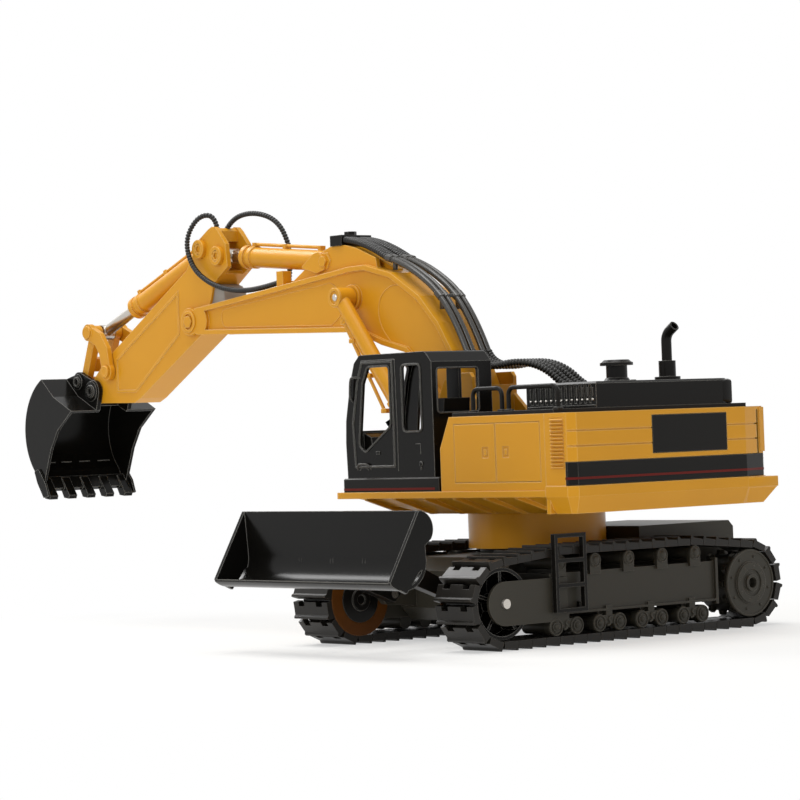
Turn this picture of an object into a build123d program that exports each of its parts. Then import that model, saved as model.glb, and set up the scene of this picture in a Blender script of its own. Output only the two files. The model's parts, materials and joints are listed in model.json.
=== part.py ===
"""Toy excavator on crawler tracks, about 1:16, built as separate pieces in one shared frame.

Frame, in millimetres: Z points up from the floor, the origin lies on the floor under the swing axis.
The upper structure faces +X and its left side, with the cab, faces +Y.
The undercarriage is turned a quarter turn under it: its dozer blade faces +Y, its left track lies at -X.
"""

import math
import os

from build123d import *

os.makedirs("parts", exist_ok=True)

# ---------------------------------------------------------------- clearances and walls
FIT = 0.05           # radial clearance of a pin in a bore
RUN = 0.3            # gap between pieces that pass each other
WALL = 2.0           # moulded wall
SCREW_R = 2.6        # head of the small pan head screws
SCREW_H = 1.2

# ---------------------------------------------------------------- undercarriage
TRACK_X = 67.5       # centre of a track from the middle
SHOE_W = 33.0
SHOES = 50           # shoes in one chain
SHOE_GAP = 0.45      # between neighbouring shoes
SHOE_PLATE = 4.4
GROUSER = 1.2
BELT_R = 22.0        # inner face of the chain round its wheels
WHEEL_R = 21.2
WHEEL_BASE = 207.0
WHEEL_Z = BELT_R + SHOE_PLATE + GROUSER
WHEEL_W = 26.0
RISE = 4.3           # the carrier rollers lift the upper run by this much
CARRIER_R = 4.4
CARRIER_YS = (59.0, 30.5, 2.5, -26.0, -54.5)
BOGIE_R = 5.4
BOGIE_PITCH = 35.5
BOGIE_ROLLERS = 16.8
BOGIES = 4
BOGIE_Y = 55.4       # centre of the foremost bogie
AXLE_R = 2.5
FRAME_FRONT = 66.0
FRAME_REAR = -73.0
FRAME_BOTTOM = 18.5
FRAME_TOP = 43.0
FRAME_W = 28.0
CHEEK_T = 2.0        # side plates of a track frame
LADDER_Y0 = 41.5
LADDER_Y1 = 66.8
LADDER_Z0 = 19.8
LADDER_Z1 = 66.5
LADDER_D = 3.6
LADDER_BAR = 2.4

BODY_X = 49.0        # half width of the car body between the tracks
BODY_BOTTOM = 13.0
BODY_TOP = 52.0
BODY_REAR = -44.0
BODY_FRONT = 72.0
BOX_REAR = -128.0
BOX_BOTTOM = 22.0
BOX_TOP = 66.0
BOX_X = 46.0

BLADE_X = 83.5       # half width of the dozer blade
BLADE_T = 2.4
BLADE_PIVOT_Y = 96.0
BLADE_PIVOT_Z = 31.0
BLADE_TOP = (167.5, 85.0)
BLADE_LIP = (190.5, 45.0)
BLADE_TOE = (BLADE_LIP[0] - 0.6, BLADE_LIP[1] - 1.6)
BLADE_BACK_Y = 165.5
BLADE_ARM_X = 30.0
BLADE_ARM_T = 8.0
PIVOT_R = 2.5

# ---------------------------------------------------------------- upper structure
DRUM_R = 43.0
DRUM_BOTTOM = 56.0
RING_R = 36.0
SEAT_H = 1.5         # raised seat under the turntable ring
DECK_BOTTOM = 89.0
DECK_TOP = 93.0
WEIGHT_FRONT = -100.0
DECK_X1 = 97.0
HOUSE_Y = 84.0       # half width of the upper structure
TUB_BOTTOM = 78.0
HOUSE_TOP = 138.0
REAR_X = -124.0
REAR_CORNERS = ((-119.0, 79.4), (-117.6, -62.0))  # where the corner facets meet side and rear face
SKIRT_BOTTOM = 79.0
STRIPE_Z0 = 95.6
STRIPE_Z1 = 109.0
BADGE_Z0 = 112.4
BADGE_Z1 = 134.7
BADGE_Y0 = -45.3
BADGE_Y1 = 17.5
RECESS = 1.0
HOUSING_FRONT = -6.3
WALK_T = 2.4         # black walkway plate on the housing
HOOD_X0 = -105.0
HOOD_X1 = -44.0
HOOD_Y0 = -72.0
HOOD_Y1 = 45.0
HOOD_TOP = 156.0
LOUVRES = 13

CAB_X0 = 3.0
CAB_X1 = 88.0
CAB_Y0 = 31.0
CAB_Y1 = 80.0
CAB_FLOOR = 101.7
CAB_TOP = 179.0
CAB_WALL = 2.2

# ---------------------------------------------------------------- boom, arm and bucket
BOOM_FOOT = (54.0, 148.0)
BOOM_CYL_FOOT = (66.0, 106.0)
BOOM_CYL_TOP = (157.0, 220.0)
ARM_PIVOT = (339.0, 213.0)
ARM_CYL_BASE = (188.0, 246.0)
ARM_CYL_EYE = (307.0, 257.6)
BUCKET_CYL_BASE = (327.4, 263.6)
ROCKER_PIVOT = (443.0, 181.6)
ROCKER_KNOB = (465.0, 211.3)
BUCKET_PIVOT = (462.5, 167.8)
BUCKET_LINK = (479.5, 175.3)

PIN_R = 2.9
BOOM_WEB = 13.0      # half width across the boom's side plates
BOOM_RIM = 15.5      # half width across its raised rims
RIM_W = 3.4
ARM_HALF = 11.5
ARM_WALL = 3.6
TOWER_IN = 16.2      # inner face of a boom bracket cheek
TOWER_OUT = 19.0
TOWER_REAR = 35.0
TOWER_FRONT = 74.0
TOWER_TOP = 166.0
CYL_Y = 24.6         # the two boom cylinders stand this far from the middle
BARREL_R = 5.0
ROD_R = 3.0
SLIM_BARREL_R = 7.0
SLIM_ROD_R = 4.2
EYE_R = 5.6
EYE_HALF = 2.7       # half width of a boom cylinder's foot eye
ROCKER_Y = 14.2      # centre of a rocker plate
ROCKER_T = 4.0
BUCKET_X = 38.0      # half width of the bucket
BUCKET_T = 2.2
TEETH = 5
HOSE_R = 2.4
LINE_R = 1.9



def side(y: float) -> Plane:
    """Plane of a side view at Y = y: sketch x is X, sketch y is Z, and it extrudes towards -Y."""
    return Plane.XZ.offset(-y)


def cross(x: float) -> Plane:
    """Plane of a cross section at X = x: sketch x is Y, sketch y is Z, and it extrudes towards +X."""
    return Plane.YZ.offset(x)


def level(z: float) -> Plane:
    """Plane of a plan at height z."""
    return Plane.XY.offset(z)


def save(part: Part, name: str) -> None:
    """Labels a finished piece and writes its STEP file."""
    part.label = name
    export_step(part, f"parts/{name}.step")


def along(start: tuple, end: tuple) -> tuple:
    """Length and angle in degrees, in a side view, of the line from start to end."""
    return math.dist(start, end), math.degrees(math.atan2(end[1] - start[1], end[0] - start[0]))


def down_the_line(start: tuple, end: tuple, y: float) -> Plane:
    """Plane at start, in the side view at Y = y, whose normal points to end and whose x axis is Y."""
    reach = math.dist(start, end)
    normal = ((end[0] - start[0]) / reach, 0, (end[1] - start[1]) / reach)
    return Plane(origin=(start[0], y, start[1]), x_dir=(0, 1, 0), z_dir=normal)


# ================================================================ tracks
def chain_path() -> list:
    """The inner face of a chain as straight and round stretches, each (length, function of length).

    The functions give (y, z, direction) in radians, running forward along the top.
    """
    front, rear = WHEEL_BASE / 2, -WHEEL_BASE / 2
    shelf_front, shelf_rear = CARRIER_YS[0], CARRIER_YS[-1]
    top = WHEEL_Z + BELT_R + RISE
    reach = math.hypot(front - shelf_front, top - WHEEL_Z)
    lean = math.acos(BELT_R / reach) - math.atan2(front - shelf_front, top - WHEEL_Z)
    lean = abs(lean)

    def straight(start, end):
        length = math.dist(start, end)
        heading = math.atan2(end[1] - start[1], end[0] - start[0])
        return length, lambda s: (start[0] + (end[0] - start[0]) * s / length,
                                  start[1] + (end[1] - start[1]) * s / length, heading)

    def turn(centre, first, last):
        return BELT_R * (first - last), lambda s: (
            centre + BELT_R * math.cos(first - s / BELT_R),
            WHEEL_Z + BELT_R * math.sin(first - s / BELT_R),
            first - s / BELT_R - math.pi / 2)

    rear_leave = math.pi / 2 + lean
    front_enter = math.pi / 2 - lean
    lift_off = (rear + BELT_R * math.cos(rear_leave), WHEEL_Z + BELT_R * math.sin(rear_leave))
    land = (front + BELT_R * math.cos(front_enter), WHEEL_Z + BELT_R * math.sin(front_enter))
    return [
        straight(lift_off, (shelf_rear, top)),
        straight((shelf_rear, top), (shelf_front, top)),
        straight((shelf_front, top), land),
        turn(front, front_enter, -math.pi / 2),
        straight((front, WHEEL_Z - BELT_R), (rear, WHEEL_Z - BELT_R)),
        turn(rear, -math.pi / 2, rear_leave - 2 * math.pi),
    ]


def chain_places() -> list:
    """(y, z, direction) of each shoe, evenly spaced round the chain."""
    path = chain_path()
    total = sum(length for length, _ in path)
    places = []
    for i in range(SHOES):
        s = total * (i + 0.5) / SHOES
        for length, place in path:
            if s <= length:
                places.append(place(s))
                break
            s -= length
    return places


SHOE_LONG = sum(length for length, _ in chain_path()) / SHOES - SHOE_GAP
WINDOW = (6.0, 2.7)   # opening in a shoe's trailing edge: across the track, along it
WINDOW_X = 8.5


def chain(x: float, name: str) -> None:
    """A chain of separate shoes, each with a low grouser and two open windows at its trailing edge."""
    half = SHOE_LONG / 2
    crest, foot = half - 0.3, half - 2.6
    with BuildPart() as shoe:
        with BuildSketch(Plane.YZ.offset(-SHOE_W / 2)):
            Polygon((-half, 0), (half, 0), (half, SHOE_PLATE), (crest, SHOE_PLATE + GROUSER),
                    (crest - 1.2, SHOE_PLATE + GROUSER), (foot, SHOE_PLATE), (-half, SHOE_PLATE - 0.5),
                    align=None)
        extrude(amount=SHOE_W)
        with Locations((-WINDOW_X, -half, 0), (WINDOW_X, -half, 0)):
            Box(WINDOW[0], 2 * WINDOW[1], 3 * (SHOE_PLATE + GROUSER), mode=Mode.SUBTRACT)
    shoes = [
        Location((x, y, z), (math.degrees(heading), 0, 0)) * shoe.part
        for y, z, heading in chain_places()
    ]
    save(Compound(children=shoes), name)


for side_name, sign in (("left", -1), ("right", 1)):
    chain(sign * TRACK_X, f"{side_name}_track_chain")


def idler(x: float, name: str) -> None:
    """Front guide wheel: rim, dished web with five openings and a hub that turns on the axle."""
    rim_in = WHEEL_R - 2.2
    hub = 6.0
    with BuildPart() as wheel:
        with BuildSketch(cross(x - WHEEL_W / 2)):
            with Locations((WHEEL_BASE / 2, WHEEL_Z)):
                Circle(WHEEL_R)
                Circle(rim_in, mode=Mode.SUBTRACT)
                Circle(hub)
        extrude(amount=WHEEL_W)
        with BuildSketch(cross(x - WALL / 2)):
            with Locations((WHEEL_BASE / 2, WHEEL_Z)):
                Circle(rim_in + 0.5)
        extrude(amount=WALL)
        with BuildSketch(cross(x - WHEEL_W / 2 + 1.5)):
            with Locations((WHEEL_BASE / 2, WHEEL_Z)):
                with PolarLocations(0, 5, start_angle=90):
                    with Locations(((rim_in + hub) / 2, 0)):
                        Rectangle(rim_in - hub + 2, WALL)
        extrude(amount=WHEEL_W - 3)
        with Locations(Plane.YZ.offset(x - WHEEL_W / 2)):
            with Locations((WHEEL_BASE / 2, WHEEL_Z)):
                Cylinder(AXLE_R + FIT, 3 * WHEEL_W, mode=Mode.SUBTRACT)
    save(wheel.part, name)


def sprocket(x: float, outward: int, name: str) -> None:
    """Rear drive wheel: toothed drum, plain outer disc with a stepped hub, and its stub axle."""
    outer = x + outward * (WHEEL_W / 2 + 3.4)
    with BuildPart() as wheel:
        with BuildSketch(cross(x - WHEEL_W / 2)):
            with Locations((-WHEEL_BASE / 2, WHEEL_Z)):
                Circle(WHEEL_R - 3.4)
        extrude(amount=WHEEL_W)
        for at in (-WHEEL_W / 2 + 2, WHEEL_W / 2 - 5):
            with BuildSketch(cross(x + at)):
                with Locations((-WHEEL_BASE / 2, WHEEL_Z)):
                    with PolarLocations(0, 12):
                        with Locations((WHEEL_R - 2.6, 0)):
                            Trapezoid(6.0, 4.0, 70, rotation=-90)
            extrude(amount=3)
        with BuildSketch(cross(x + outward * WHEEL_W / 2)):
            with Locations((-WHEEL_BASE / 2, WHEEL_Z)):
                Circle(WHEEL_R)
        extrude(amount=outward * 2.0)
        with BuildSketch(cross(x + outward * (WHEEL_W / 2 + 2.0))):
            with Locations((-WHEEL_BASE / 2, WHEEL_Z)):
                Circle(13.4)
        extrude(amount=outward * 0.9)
        with BuildSketch(cross(outer - outward * 0.5)):
            with Locations((-WHEEL_BASE / 2, WHEEL_Z)):
                Circle(6.2)
        extrude(amount=outward * 0.5)
        with BuildSketch(cross(outer)):
            with Locations((-WHEEL_BASE / 2, WHEEL_Z)):
                Circle(3.2)
        extrude(amount=-outward * 4.0, mode=Mode.SUBTRACT)
        with BuildSketch(cross(x - outward * WHEEL_W / 2)):
            with Locations((-WHEEL_BASE / 2, WHEEL_Z)):
                Circle(AXLE_R)
        extrude(amount=-outward * 14.0)
    save(wheel.part, name)


def frame(x: float, outward: int, name: str) -> None:
    """Side frame of a track: box beam, idler fork, carrier roller ears and bogie rollers."""
    face = x + outward * FRAME_W / 2
    with BuildPart() as beam:
        with BuildSketch(cross(x - FRAME_W / 2)):
            Polygon((FRAME_REAR, FRAME_BOTTOM), (FRAME_FRONT, FRAME_BOTTOM), (FRAME_FRONT, FRAME_TOP),
                    (FRAME_REAR, FRAME_TOP), align=None)
        extrude(amount=FRAME_W)
        # end flange and lips of the outer face
        with BuildSketch(cross(face - outward * 2)):
            with Locations((FRAME_REAR, (FRAME_BOTTOM + FRAME_TOP) / 2)):
                Rectangle(2.0, FRAME_TOP - FRAME_BOTTOM + 4)
            with Locations(((FRAME_REAR + FRAME_FRONT) / 2, FRAME_BOTTOM + 0.6)):
                Rectangle(FRAME_FRONT - FRAME_REAR, 1.2)
        extrude(amount=outward * (2 + CHEEK_T))
        # plates that reach past the idler, inside and outside
        for plate in (x - FRAME_W / 2 - CHEEK_T, x + FRAME_W / 2):
            with BuildSketch(cross(plate)):
                with Locations((WHEEL_BASE / 2, WHEEL_Z)):
                    Circle(13.0)
                with Locations(((WHEEL_BASE / 2 + FRAME_FRONT - 12) / 2, WHEEL_Z)):
                    Rectangle(WHEEL_BASE / 2 - FRAME_FRONT + 12, 26.0)
                with Locations((WHEEL_BASE / 2, WHEEL_Z)):
                    Circle(AXLE_R, mode=Mode.SUBTRACT)
            extrude(amount=CHEEK_T)
        # carrier rollers: an ear on the outer face and a roller under the chain
        carrier_z = WHEEL_Z + BELT_R + RISE - CARRIER_R - RUN
        with BuildSketch(cross(face - outward * 1.0)):
            for y in CARRIER_YS:
                with Locations((y, carrier_z)):
                    Circle(CARRIER_R + 0.1)
                with Locations((y, (carrier_z + FRAME_TOP) / 2 - 1)):
                    Rectangle(2 * CARRIER_R, carrier_z - FRAME_TOP + 2)
        extrude(amount=outward * (1.0 + CHEEK_T))
        for y in CARRIER_YS:
            with BuildSketch(cross(face + outward * CHEEK_T)):
                with Locations((y, carrier_z)):
                    Circle(3.4)
            extrude(amount=outward * 0.5, taper=20)
        with BuildSketch(cross(x - FRAME_W / 2 + 1)):
            for y in CARRIER_YS:
                with Locations((y, carrier_z)):
                    Circle(CARRIER_R - 0.4)
                with Locations((y, (carrier_z + FRAME_TOP) / 2 - 1)):
                    Rectangle(2.4, carrier_z - FRAME_TOP + 2)
        extrude(amount=FRAME_W - 3)
        # bogies: dog-bone plates with a round cap over each roller
        bogie_z = WHEEL_Z - BELT_R + BOGIE_R + RUN
        for i in range(BOGIES):
            middle = BOGIE_Y - i * BOGIE_PITCH
            ends = (middle - BOGIE_ROLLERS / 2, middle + BOGIE_ROLLERS / 2)
            with BuildSketch(cross(face - outward * 3)):
                for y in ends:
                    with Locations((y, bogie_z)):
                        Circle(BOGIE_R)
                with Locations((middle, bogie_z + 1.8)):
                    Rectangle(BOGIE_ROLLERS, 5.2)
                with Locations((middle, (bogie_z + FRAME_BOTTOM) / 2 + 1.5)):
                    Rectangle(5, FRAME_BOTTOM - bogie_z + 3)
            extrude(amount=outward * (3 + CHEEK_T - 0.4))
            for y in ends:
                with BuildSketch(cross(face + outward * (CHEEK_T - 0.4))):
                    with Locations((y, bogie_z)):
                        Circle(3.1)
                extrude(amount=outward * 0.9)
            with BuildSketch(cross(x - FRAME_W / 2 + 2)):
                for y in ends:
                    with Locations((y, bogie_z)):
                        Circle(BOGIE_R - 0.8)
                with Locations((middle, (bogie_z + FRAME_BOTTOM) / 2 + 1)):
                    Rectangle(BOGIE_ROLLERS - 5, FRAME_BOTTOM - bogie_z + 2)
                with Locations((middle, bogie_z + 2)):
                    Rectangle(BOGIE_ROLLERS, 3)
            extrude(amount=FRAME_W - 6)
    save(beam.part, name)


def ladder(outer_x: float, outward: int, name: str) -> None:
    """Step beside a track: an upright open box frame with two rungs."""
    with BuildPart() as steps:
        middle = ((LADDER_Y0 + LADDER_Y1) / 2, (LADDER_Z0 + LADDER_Z1) / 2)
        bay = (LADDER_Z1 - LADDER_Z0 - LADDER_BAR) / 3
        with BuildSketch(cross(outer_x)):
            with Locations(middle):
                Rectangle(LADDER_Y1 - LADDER_Y0, LADDER_Z1 - LADDER_Z0)
            with Locations(*[(middle[0], LADDER_Z0 + LADDER_BAR / 2 + bay * (i + 0.5)) for i in range(3)]):
                Rectangle(LADDER_Y1 - LADDER_Y0 - 2 * LADDER_BAR, bay - LADDER_BAR, mode=Mode.SUBTRACT)
        extrude(amount=-outward * LADDER_D)
        # feet that reach in to the track frame under the chain
        for y, face in ((LADDER_Y0 + 2, FRAME_W / 2), (LADDER_Y1 - 2, FRAME_W / 2 + CHEEK_T)):
            with BuildSketch(cross(outer_x - outward * LADDER_D)):
                with Locations((y, FRAME_BOTTOM + 5)):
                    Rectangle(3, 4)
            extrude(amount=-outward * (abs(outer_x) - LADDER_D - TRACK_X - face))
    save(steps.part, name)


LADDER_OUT = TRACK_X + SHOE_W / 2 + RUN + LADDER_D
for side_name, sign in (("left", -1), ("right", 1)):
    idler(sign * TRACK_X, f"{side_name}_idler")
    sprocket(sign * TRACK_X, sign, f"{side_name}_sprocket")
    frame(sign * TRACK_X, sign, f"{side_name}_track_frame")
    ladder(sign * LADDER_OUT, sign, f"{side_name}_step_ladder")

with BuildPart() as idler_axles:
    for sign in (-1, 1):
        inner = sign * (TRACK_X - FRAME_W / 2 - CHEEK_T)
        outer = sign * (TRACK_X + FRAME_W / 2 + CHEEK_T)
        with BuildSketch(cross(inner)):
            with Locations((WHEEL_BASE / 2, WHEEL_Z)):
                Circle(AXLE_R)
        extrude(amount=outer - inner)
        with BuildSketch(cross(outer)):
            with Locations((WHEEL_BASE / 2, WHEEL_Z)):
                Circle(SCREW_R + 0.6)
        extrude(amount=sign * SCREW_H, taper=15)
save(idler_axles.part, "idler_axle_screws")

# ================================================================ car body
with BuildPart() as car_body:
    with BuildSketch(level(BODY_BOTTOM)):
        with Locations((0, (BODY_FRONT + BODY_REAR) / 2)):
            Rectangle(2 * BODY_X, BODY_FRONT - BODY_REAR)
    extrude(amount=BODY_TOP - BODY_BOTTOM)
    chamfer(car_body.edges().filter_by(Axis.X).group_by(Axis.Y)[-1], length=8)
    # hollow from below, for the drive units
    with BuildSketch(level(BODY_BOTTOM)):
        with Locations((0, (BODY_FRONT + BODY_REAR) / 2)):
            Rectangle(2 * (BODY_X - WALL), BODY_FRONT - BODY_REAR - 20)
    extrude(amount=BODY_TOP - BODY_BOTTOM - 3 * WALL, mode=Mode.SUBTRACT)
    # lugs that carry the blade arms
    with BuildSketch(cross(-BLADE_ARM_X - BLADE_ARM_T / 2 - RUN)):
        Polygon((BODY_FRONT - 4, BLADE_PIVOT_Z - 9), (BLADE_PIVOT_Y, BLADE_PIVOT_Z - 6.5),
                (BLADE_PIVOT_Y + 6, BLADE_PIVOT_Z), (BLADE_PIVOT_Y, BLADE_PIVOT_Z + 6.5),
                (BODY_FRONT - 4, BLADE_PIVOT_Z + 12), align=None)
    extrude(amount=-5)
    mirror(about=Plane.YZ)
    with BuildSketch(cross(-BODY_X)):
        with Locations((BLADE_PIVOT_Y, BLADE_PIVOT_Z)):
            Circle(PIVOT_R)
    extrude(amount=2 * BODY_X, mode=Mode.SUBTRACT)
    # beams to the track frames
    for y in (-24.0, 34.0):
        for sign in (-1, 1):
            with BuildSketch(cross(sign * BODY_X)):
                with Locations((y, 31)):
                    Rectangle(20, 18)
            extrude(amount=sign * (TRACK_X - FRAME_W / 2 - BODY_X))
    # raised seat and ring of the turntable
    with BuildSketch(level(BODY_TOP)):
        Circle(RING_R + 3)
    extrude(amount=SEAT_H)
    with BuildSketch(level(BODY_TOP + SEAT_H)):
        Circle(RING_R)
        Circle(RING_R - 10, mode=Mode.SUBTRACT)
    extrude(amount=DRUM_BOTTOM - BODY_TOP - SEAT_H - RUN)
    with BuildSketch(level(BODY_TOP + SEAT_H)):
        Circle(RING_R - 7)
        Circle(RING_R - 10, mode=Mode.SUBTRACT)
    extrude(amount=12)
save(car_body.part, "car_body")

with BuildPart() as battery_box:
    with BuildSketch(level(BOX_BOTTOM)):
        with Locations((0, (BODY_REAR + BOX_REAR) / 2)):
            Rectangle(2 * BOX_X, BODY_REAR - BOX_REAR)
    extrude(amount=BOX_TOP - BOX_BOTTOM)
    chamfer(battery_box.edges().filter_by(Axis.X).group_by(Axis.Y)[0].group_by(Axis.Z)[-1], length=4)
    with BuildSketch(level(BOX_BOTTOM)):
        with Locations((0, (BODY_REAR + BOX_REAR) / 2)):
            Rectangle(2 * (BOX_X - WALL), BODY_REAR - BOX_REAR - 2 * WALL)
    extrude(amount=BOX_TOP - BOX_BOTTOM - WALL, mode=Mode.SUBTRACT)
    # bearing bosses of the two drive shafts
    for sign in (-1, 1):
        with BuildSketch(cross(sign * BOX_X)):
            with Locations((-WHEEL_BASE / 2, WHEEL_Z)):
                Circle(AXLE_R + 2.5)
        extrude(amount=sign * (TRACK_X - WHEEL_W / 2 - RUN - BOX_X))
    with Locations(Plane.YZ.offset(0)):
        with Locations((-WHEEL_BASE / 2, WHEEL_Z)):
            Cylinder(AXLE_R + FIT, 4 * BOX_X, mode=Mode.SUBTRACT)
save(battery_box.part, "battery_box")

with BuildPart() as battery_cover:
    with BuildSketch(level(BOX_BOTTOM - WALL)):
        with Locations((0, (BODY_REAR + BOX_REAR) / 2)):
            RectangleRounded(2 * BOX_X, BODY_REAR - BOX_REAR, 3)
    extrude(amount=WALL)
save(battery_cover.part, "battery_cover")

PACK = (62.0, 42.0, 20.0)
with BuildPart() as battery_pack:
    with Locations((0, BODY_REAR - WALL - RUN - PACK[1] / 2, BOX_TOP - WALL - PACK[2] / 2)):
        Box(*PACK)
    fillet(battery_pack.edges().filter_by(Axis.X), radius=4)
save(battery_pack.part, "battery_pack")

with BuildPart() as drive_units:
    for sign in (-1, 1):
        with Locations((sign * 24.4, -WHEEL_BASE / 2, WHEEL_Z)):
            Box(38.4, 24, 8)
        with BuildSketch(cross(sign * 5.0)):
            with Locations((-WHEEL_BASE / 2, WHEEL_Z + 14)):
                Circle(10.2)
        extrude(amount=sign * 30)
    with Locations(Plane.YZ.offset(0)):
        with Locations((-WHEEL_BASE / 2, WHEEL_Z)):
            Cylinder(AXLE_R + FIT, 4 * BOX_X, mode=Mode.SUBTRACT)
save(drive_units.part, "track_drive_gearboxes")

# ================================================================ dozer blade
with BuildPart() as blade:
    # mouldboard: upright behind, rolling forward to the lip
    with BuildSketch(cross(-BLADE_X)):
        with BuildLine():
            bend = (BLADE_BACK_Y, 58.0)
            upright = Line(BLADE_TOP, bend)
            roll = TangentArc(bend, BLADE_LIP, tangent=upright % 1)
            under = Line(BLADE_LIP, BLADE_TOE)
            hollow = TangentArc(under @ 1, (BLADE_BACK_Y - BLADE_T, 57.0), tangent=(roll % 1) * -1)
            Line(hollow @ 1, (BLADE_TOP[0] - BLADE_T, BLADE_TOP[1]))
            Line((BLADE_TOP[0] - BLADE_T, BLADE_TOP[1]), BLADE_TOP)
        make_face()
    extrude(amount=2 * BLADE_X)
    # end plates with the stepped rear outline
    for x in (-BLADE_X, BLADE_X - BLADE_T):
        with BuildSketch(cross(x)):
            with BuildLine():
                Line(BLADE_LIP, BLADE_TOP)
                crown = ThreePointArc(BLADE_TOP, (157.5, 77.0), (159.0, 68.5))
                waist = Line(crown @ 1, (164.0, 64.5))
                low = Line(waist @ 1, (165.2, 52.0))
                heel = Line(low @ 1, (169.0, 49.5))
                tip = Line(heel @ 1, (178.5, 38.0))
                toe = Line(tip @ 1, BLADE_TOE)
                Line(toe @ 1, BLADE_LIP)
            make_face()
        extrude(amount=BLADE_T)
    # stiffeners behind the mouldboard
    for x in (-BLADE_ARM_X, 0, BLADE_ARM_X):
        with BuildSketch(cross(x - 1.2)):
            Polygon((BLADE_BACK_Y - BLADE_T + 0.5, 80), (BLADE_BACK_Y - 7, 74), (BLADE_BACK_Y - 7, 50),
                    (BLADE_BACK_Y + 0.6, 50.0), align=None)
        extrude(amount=2.4)
save(blade.part, "dozer_blade")

with BuildPart() as blade_arms:
    seat_y = BLADE_BACK_Y - 7 - RUN
    for sign in (-1, 1):
        with BuildSketch(cross(sign * BLADE_ARM_X - BLADE_ARM_T / 2)):
            with BuildLine():
                Polyline((seat_y, 74), (seat_y, 50), (BLADE_PIVOT_Y, BLADE_PIVOT_Z - 5),
                         (BLADE_PIVOT_Y - 5, BLADE_PIVOT_Z), (BLADE_PIVOT_Y, BLADE_PIVOT_Z + 5),
                         (seat_y - 16, 58), close=True)
            make_face()
        extrude(amount=BLADE_ARM_T)
    with BuildSketch(cross(-BLADE_ARM_X)):
        with Locations((seat_y - 14, 50)):
            Rectangle(6, 5)
    extrude(amount=2 * BLADE_ARM_X)
    with Locations(Plane.YZ.offset(0)):
        with Locations((BLADE_PIVOT_Y, BLADE_PIVOT_Z)):
            Cylinder(PIVOT_R + FIT, 3 * BLADE_ARM_X, mode=Mode.SUBTRACT)
save(blade_arms.part, "blade_push_arms")

with BuildPart() as blade_pins:
    for sign in (-1, 1):
        with BuildSketch(cross(sign * (BLADE_ARM_X - BLADE_ARM_T / 2))):
            with Locations((BLADE_PIVOT_Y, BLADE_PIVOT_Z)):
                Circle(PIVOT_R)
        extrude(amount=sign * (BLADE_ARM_T + 5 + RUN))
        with BuildSketch(cross(sign * (BLADE_ARM_X + BLADE_ARM_T / 2 + 5 + RUN))):
            with Locations((BLADE_PIVOT_Y, BLADE_PIVOT_Z)):
                Circle(SCREW_R + 0.8)
        extrude(amount=sign * SCREW_H)
save(blade_pins.part, "blade_pivot_pins")

# ================================================================ upper structure
with BuildPart() as drum:
    with BuildSketch(level(DRUM_BOTTOM)):
        Circle(DRUM_R)
        Circle(DRUM_R - 2.5, mode=Mode.SUBTRACT)
    extrude(amount=TUB_BOTTOM - DRUM_BOTTOM)
    with BuildSketch(level(TUB_BOTTOM - 2.5)):
        Circle(DRUM_R - 1)
    extrude(amount=2.5)
    # sleeve that turns on the fixed ring
    with BuildSketch(level(DRUM_BOTTOM + 2)):
        Circle(RING_R - 4)
        Circle(RING_R - 7 + RUN, mode=Mode.SUBTRACT)
    extrude(amount=TUB_BOTTOM - DRUM_BOTTOM - 3)
save(drum.part, "swing_drum")

with BuildPart() as swing_motor:
    with BuildSketch(level(TUB_BOTTOM - 2.5 - 15)):
        with Locations((12, 0)):
            Circle(9)
    extrude(amount=15)
    with BuildSketch(level(TUB_BOTTOM - 2.5 - 19)):
        with Locations((12, 0)):
            Circle(5)
    extrude(amount=4)
save(swing_motor.part, "swing_motor")

TUB_TOP_X = (-92.0, 84.0)
TUB_LOW_X = (-78.0, 46.0)
TUB_TOP_Y = 76.0
TUB_LOW_Y = 47.0
with BuildPart() as platform:
    with BuildSketch(level(DECK_BOTTOM)):
        with Locations(((WEIGHT_FRONT + DECK_X1) / 2, 0)):
            Rectangle(DECK_X1 - WEIGHT_FRONT, 2 * HOUSE_Y)
    extrude(amount=DECK_TOP - DECK_BOTTOM)
    fillet(platform.edges().filter_by(Axis.Z).group_by(Axis.X)[-1], radius=5)
    # tub under the deck, with sloping sides
    with BuildSketch(level(DECK_BOTTOM)):
        with Locations((sum(TUB_TOP_X) / 2, 0)):
            Rectangle(TUB_TOP_X[1] - TUB_TOP_X[0], 2 * TUB_TOP_Y)
    with BuildSketch(level(TUB_BOTTOM)):
        with Locations((sum(TUB_LOW_X) / 2, 0)):
            Rectangle(TUB_LOW_X[1] - TUB_LOW_X[0], 2 * TUB_LOW_Y)
    loft()
    # fins on the slopes
    for x in (68.0, 40.0, 12.0, -16.0, -44.0, -72.0):
        for sign in (-1, 1):
            with BuildSketch(cross(x - 1.1)):
                Polygon((sign * 82, DECK_BOTTOM), (sign * 82, DECK_BOTTOM - 1.2),
                        (sign * 52, TUB_BOTTOM), (sign * 40, TUB_BOTTOM), (sign * 40, DECK_BOTTOM), align=None)
            extrude(amount=2.2)
save(platform.part, "house_platform")


def weight_plan(inset: float) -> Sketch:
    """Plan of the counterweight with its two corner facets, drawn in by inset."""
    (left_x, left_y), (right_x, right_y) = REAR_CORNERS
    plan = Polygon((WEIGHT_FRONT, HOUSE_Y), (left_x, HOUSE_Y), (REAR_X, left_y), (REAR_X, right_y),
                   (right_x, -HOUSE_Y), (WEIGHT_FRONT, -HOUSE_Y), align=None, mode=Mode.PRIVATE)
    return offset(plan, amount=-inset, kind=Kind.INTERSECTION, mode=Mode.PRIVATE) if inset else plan


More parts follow.
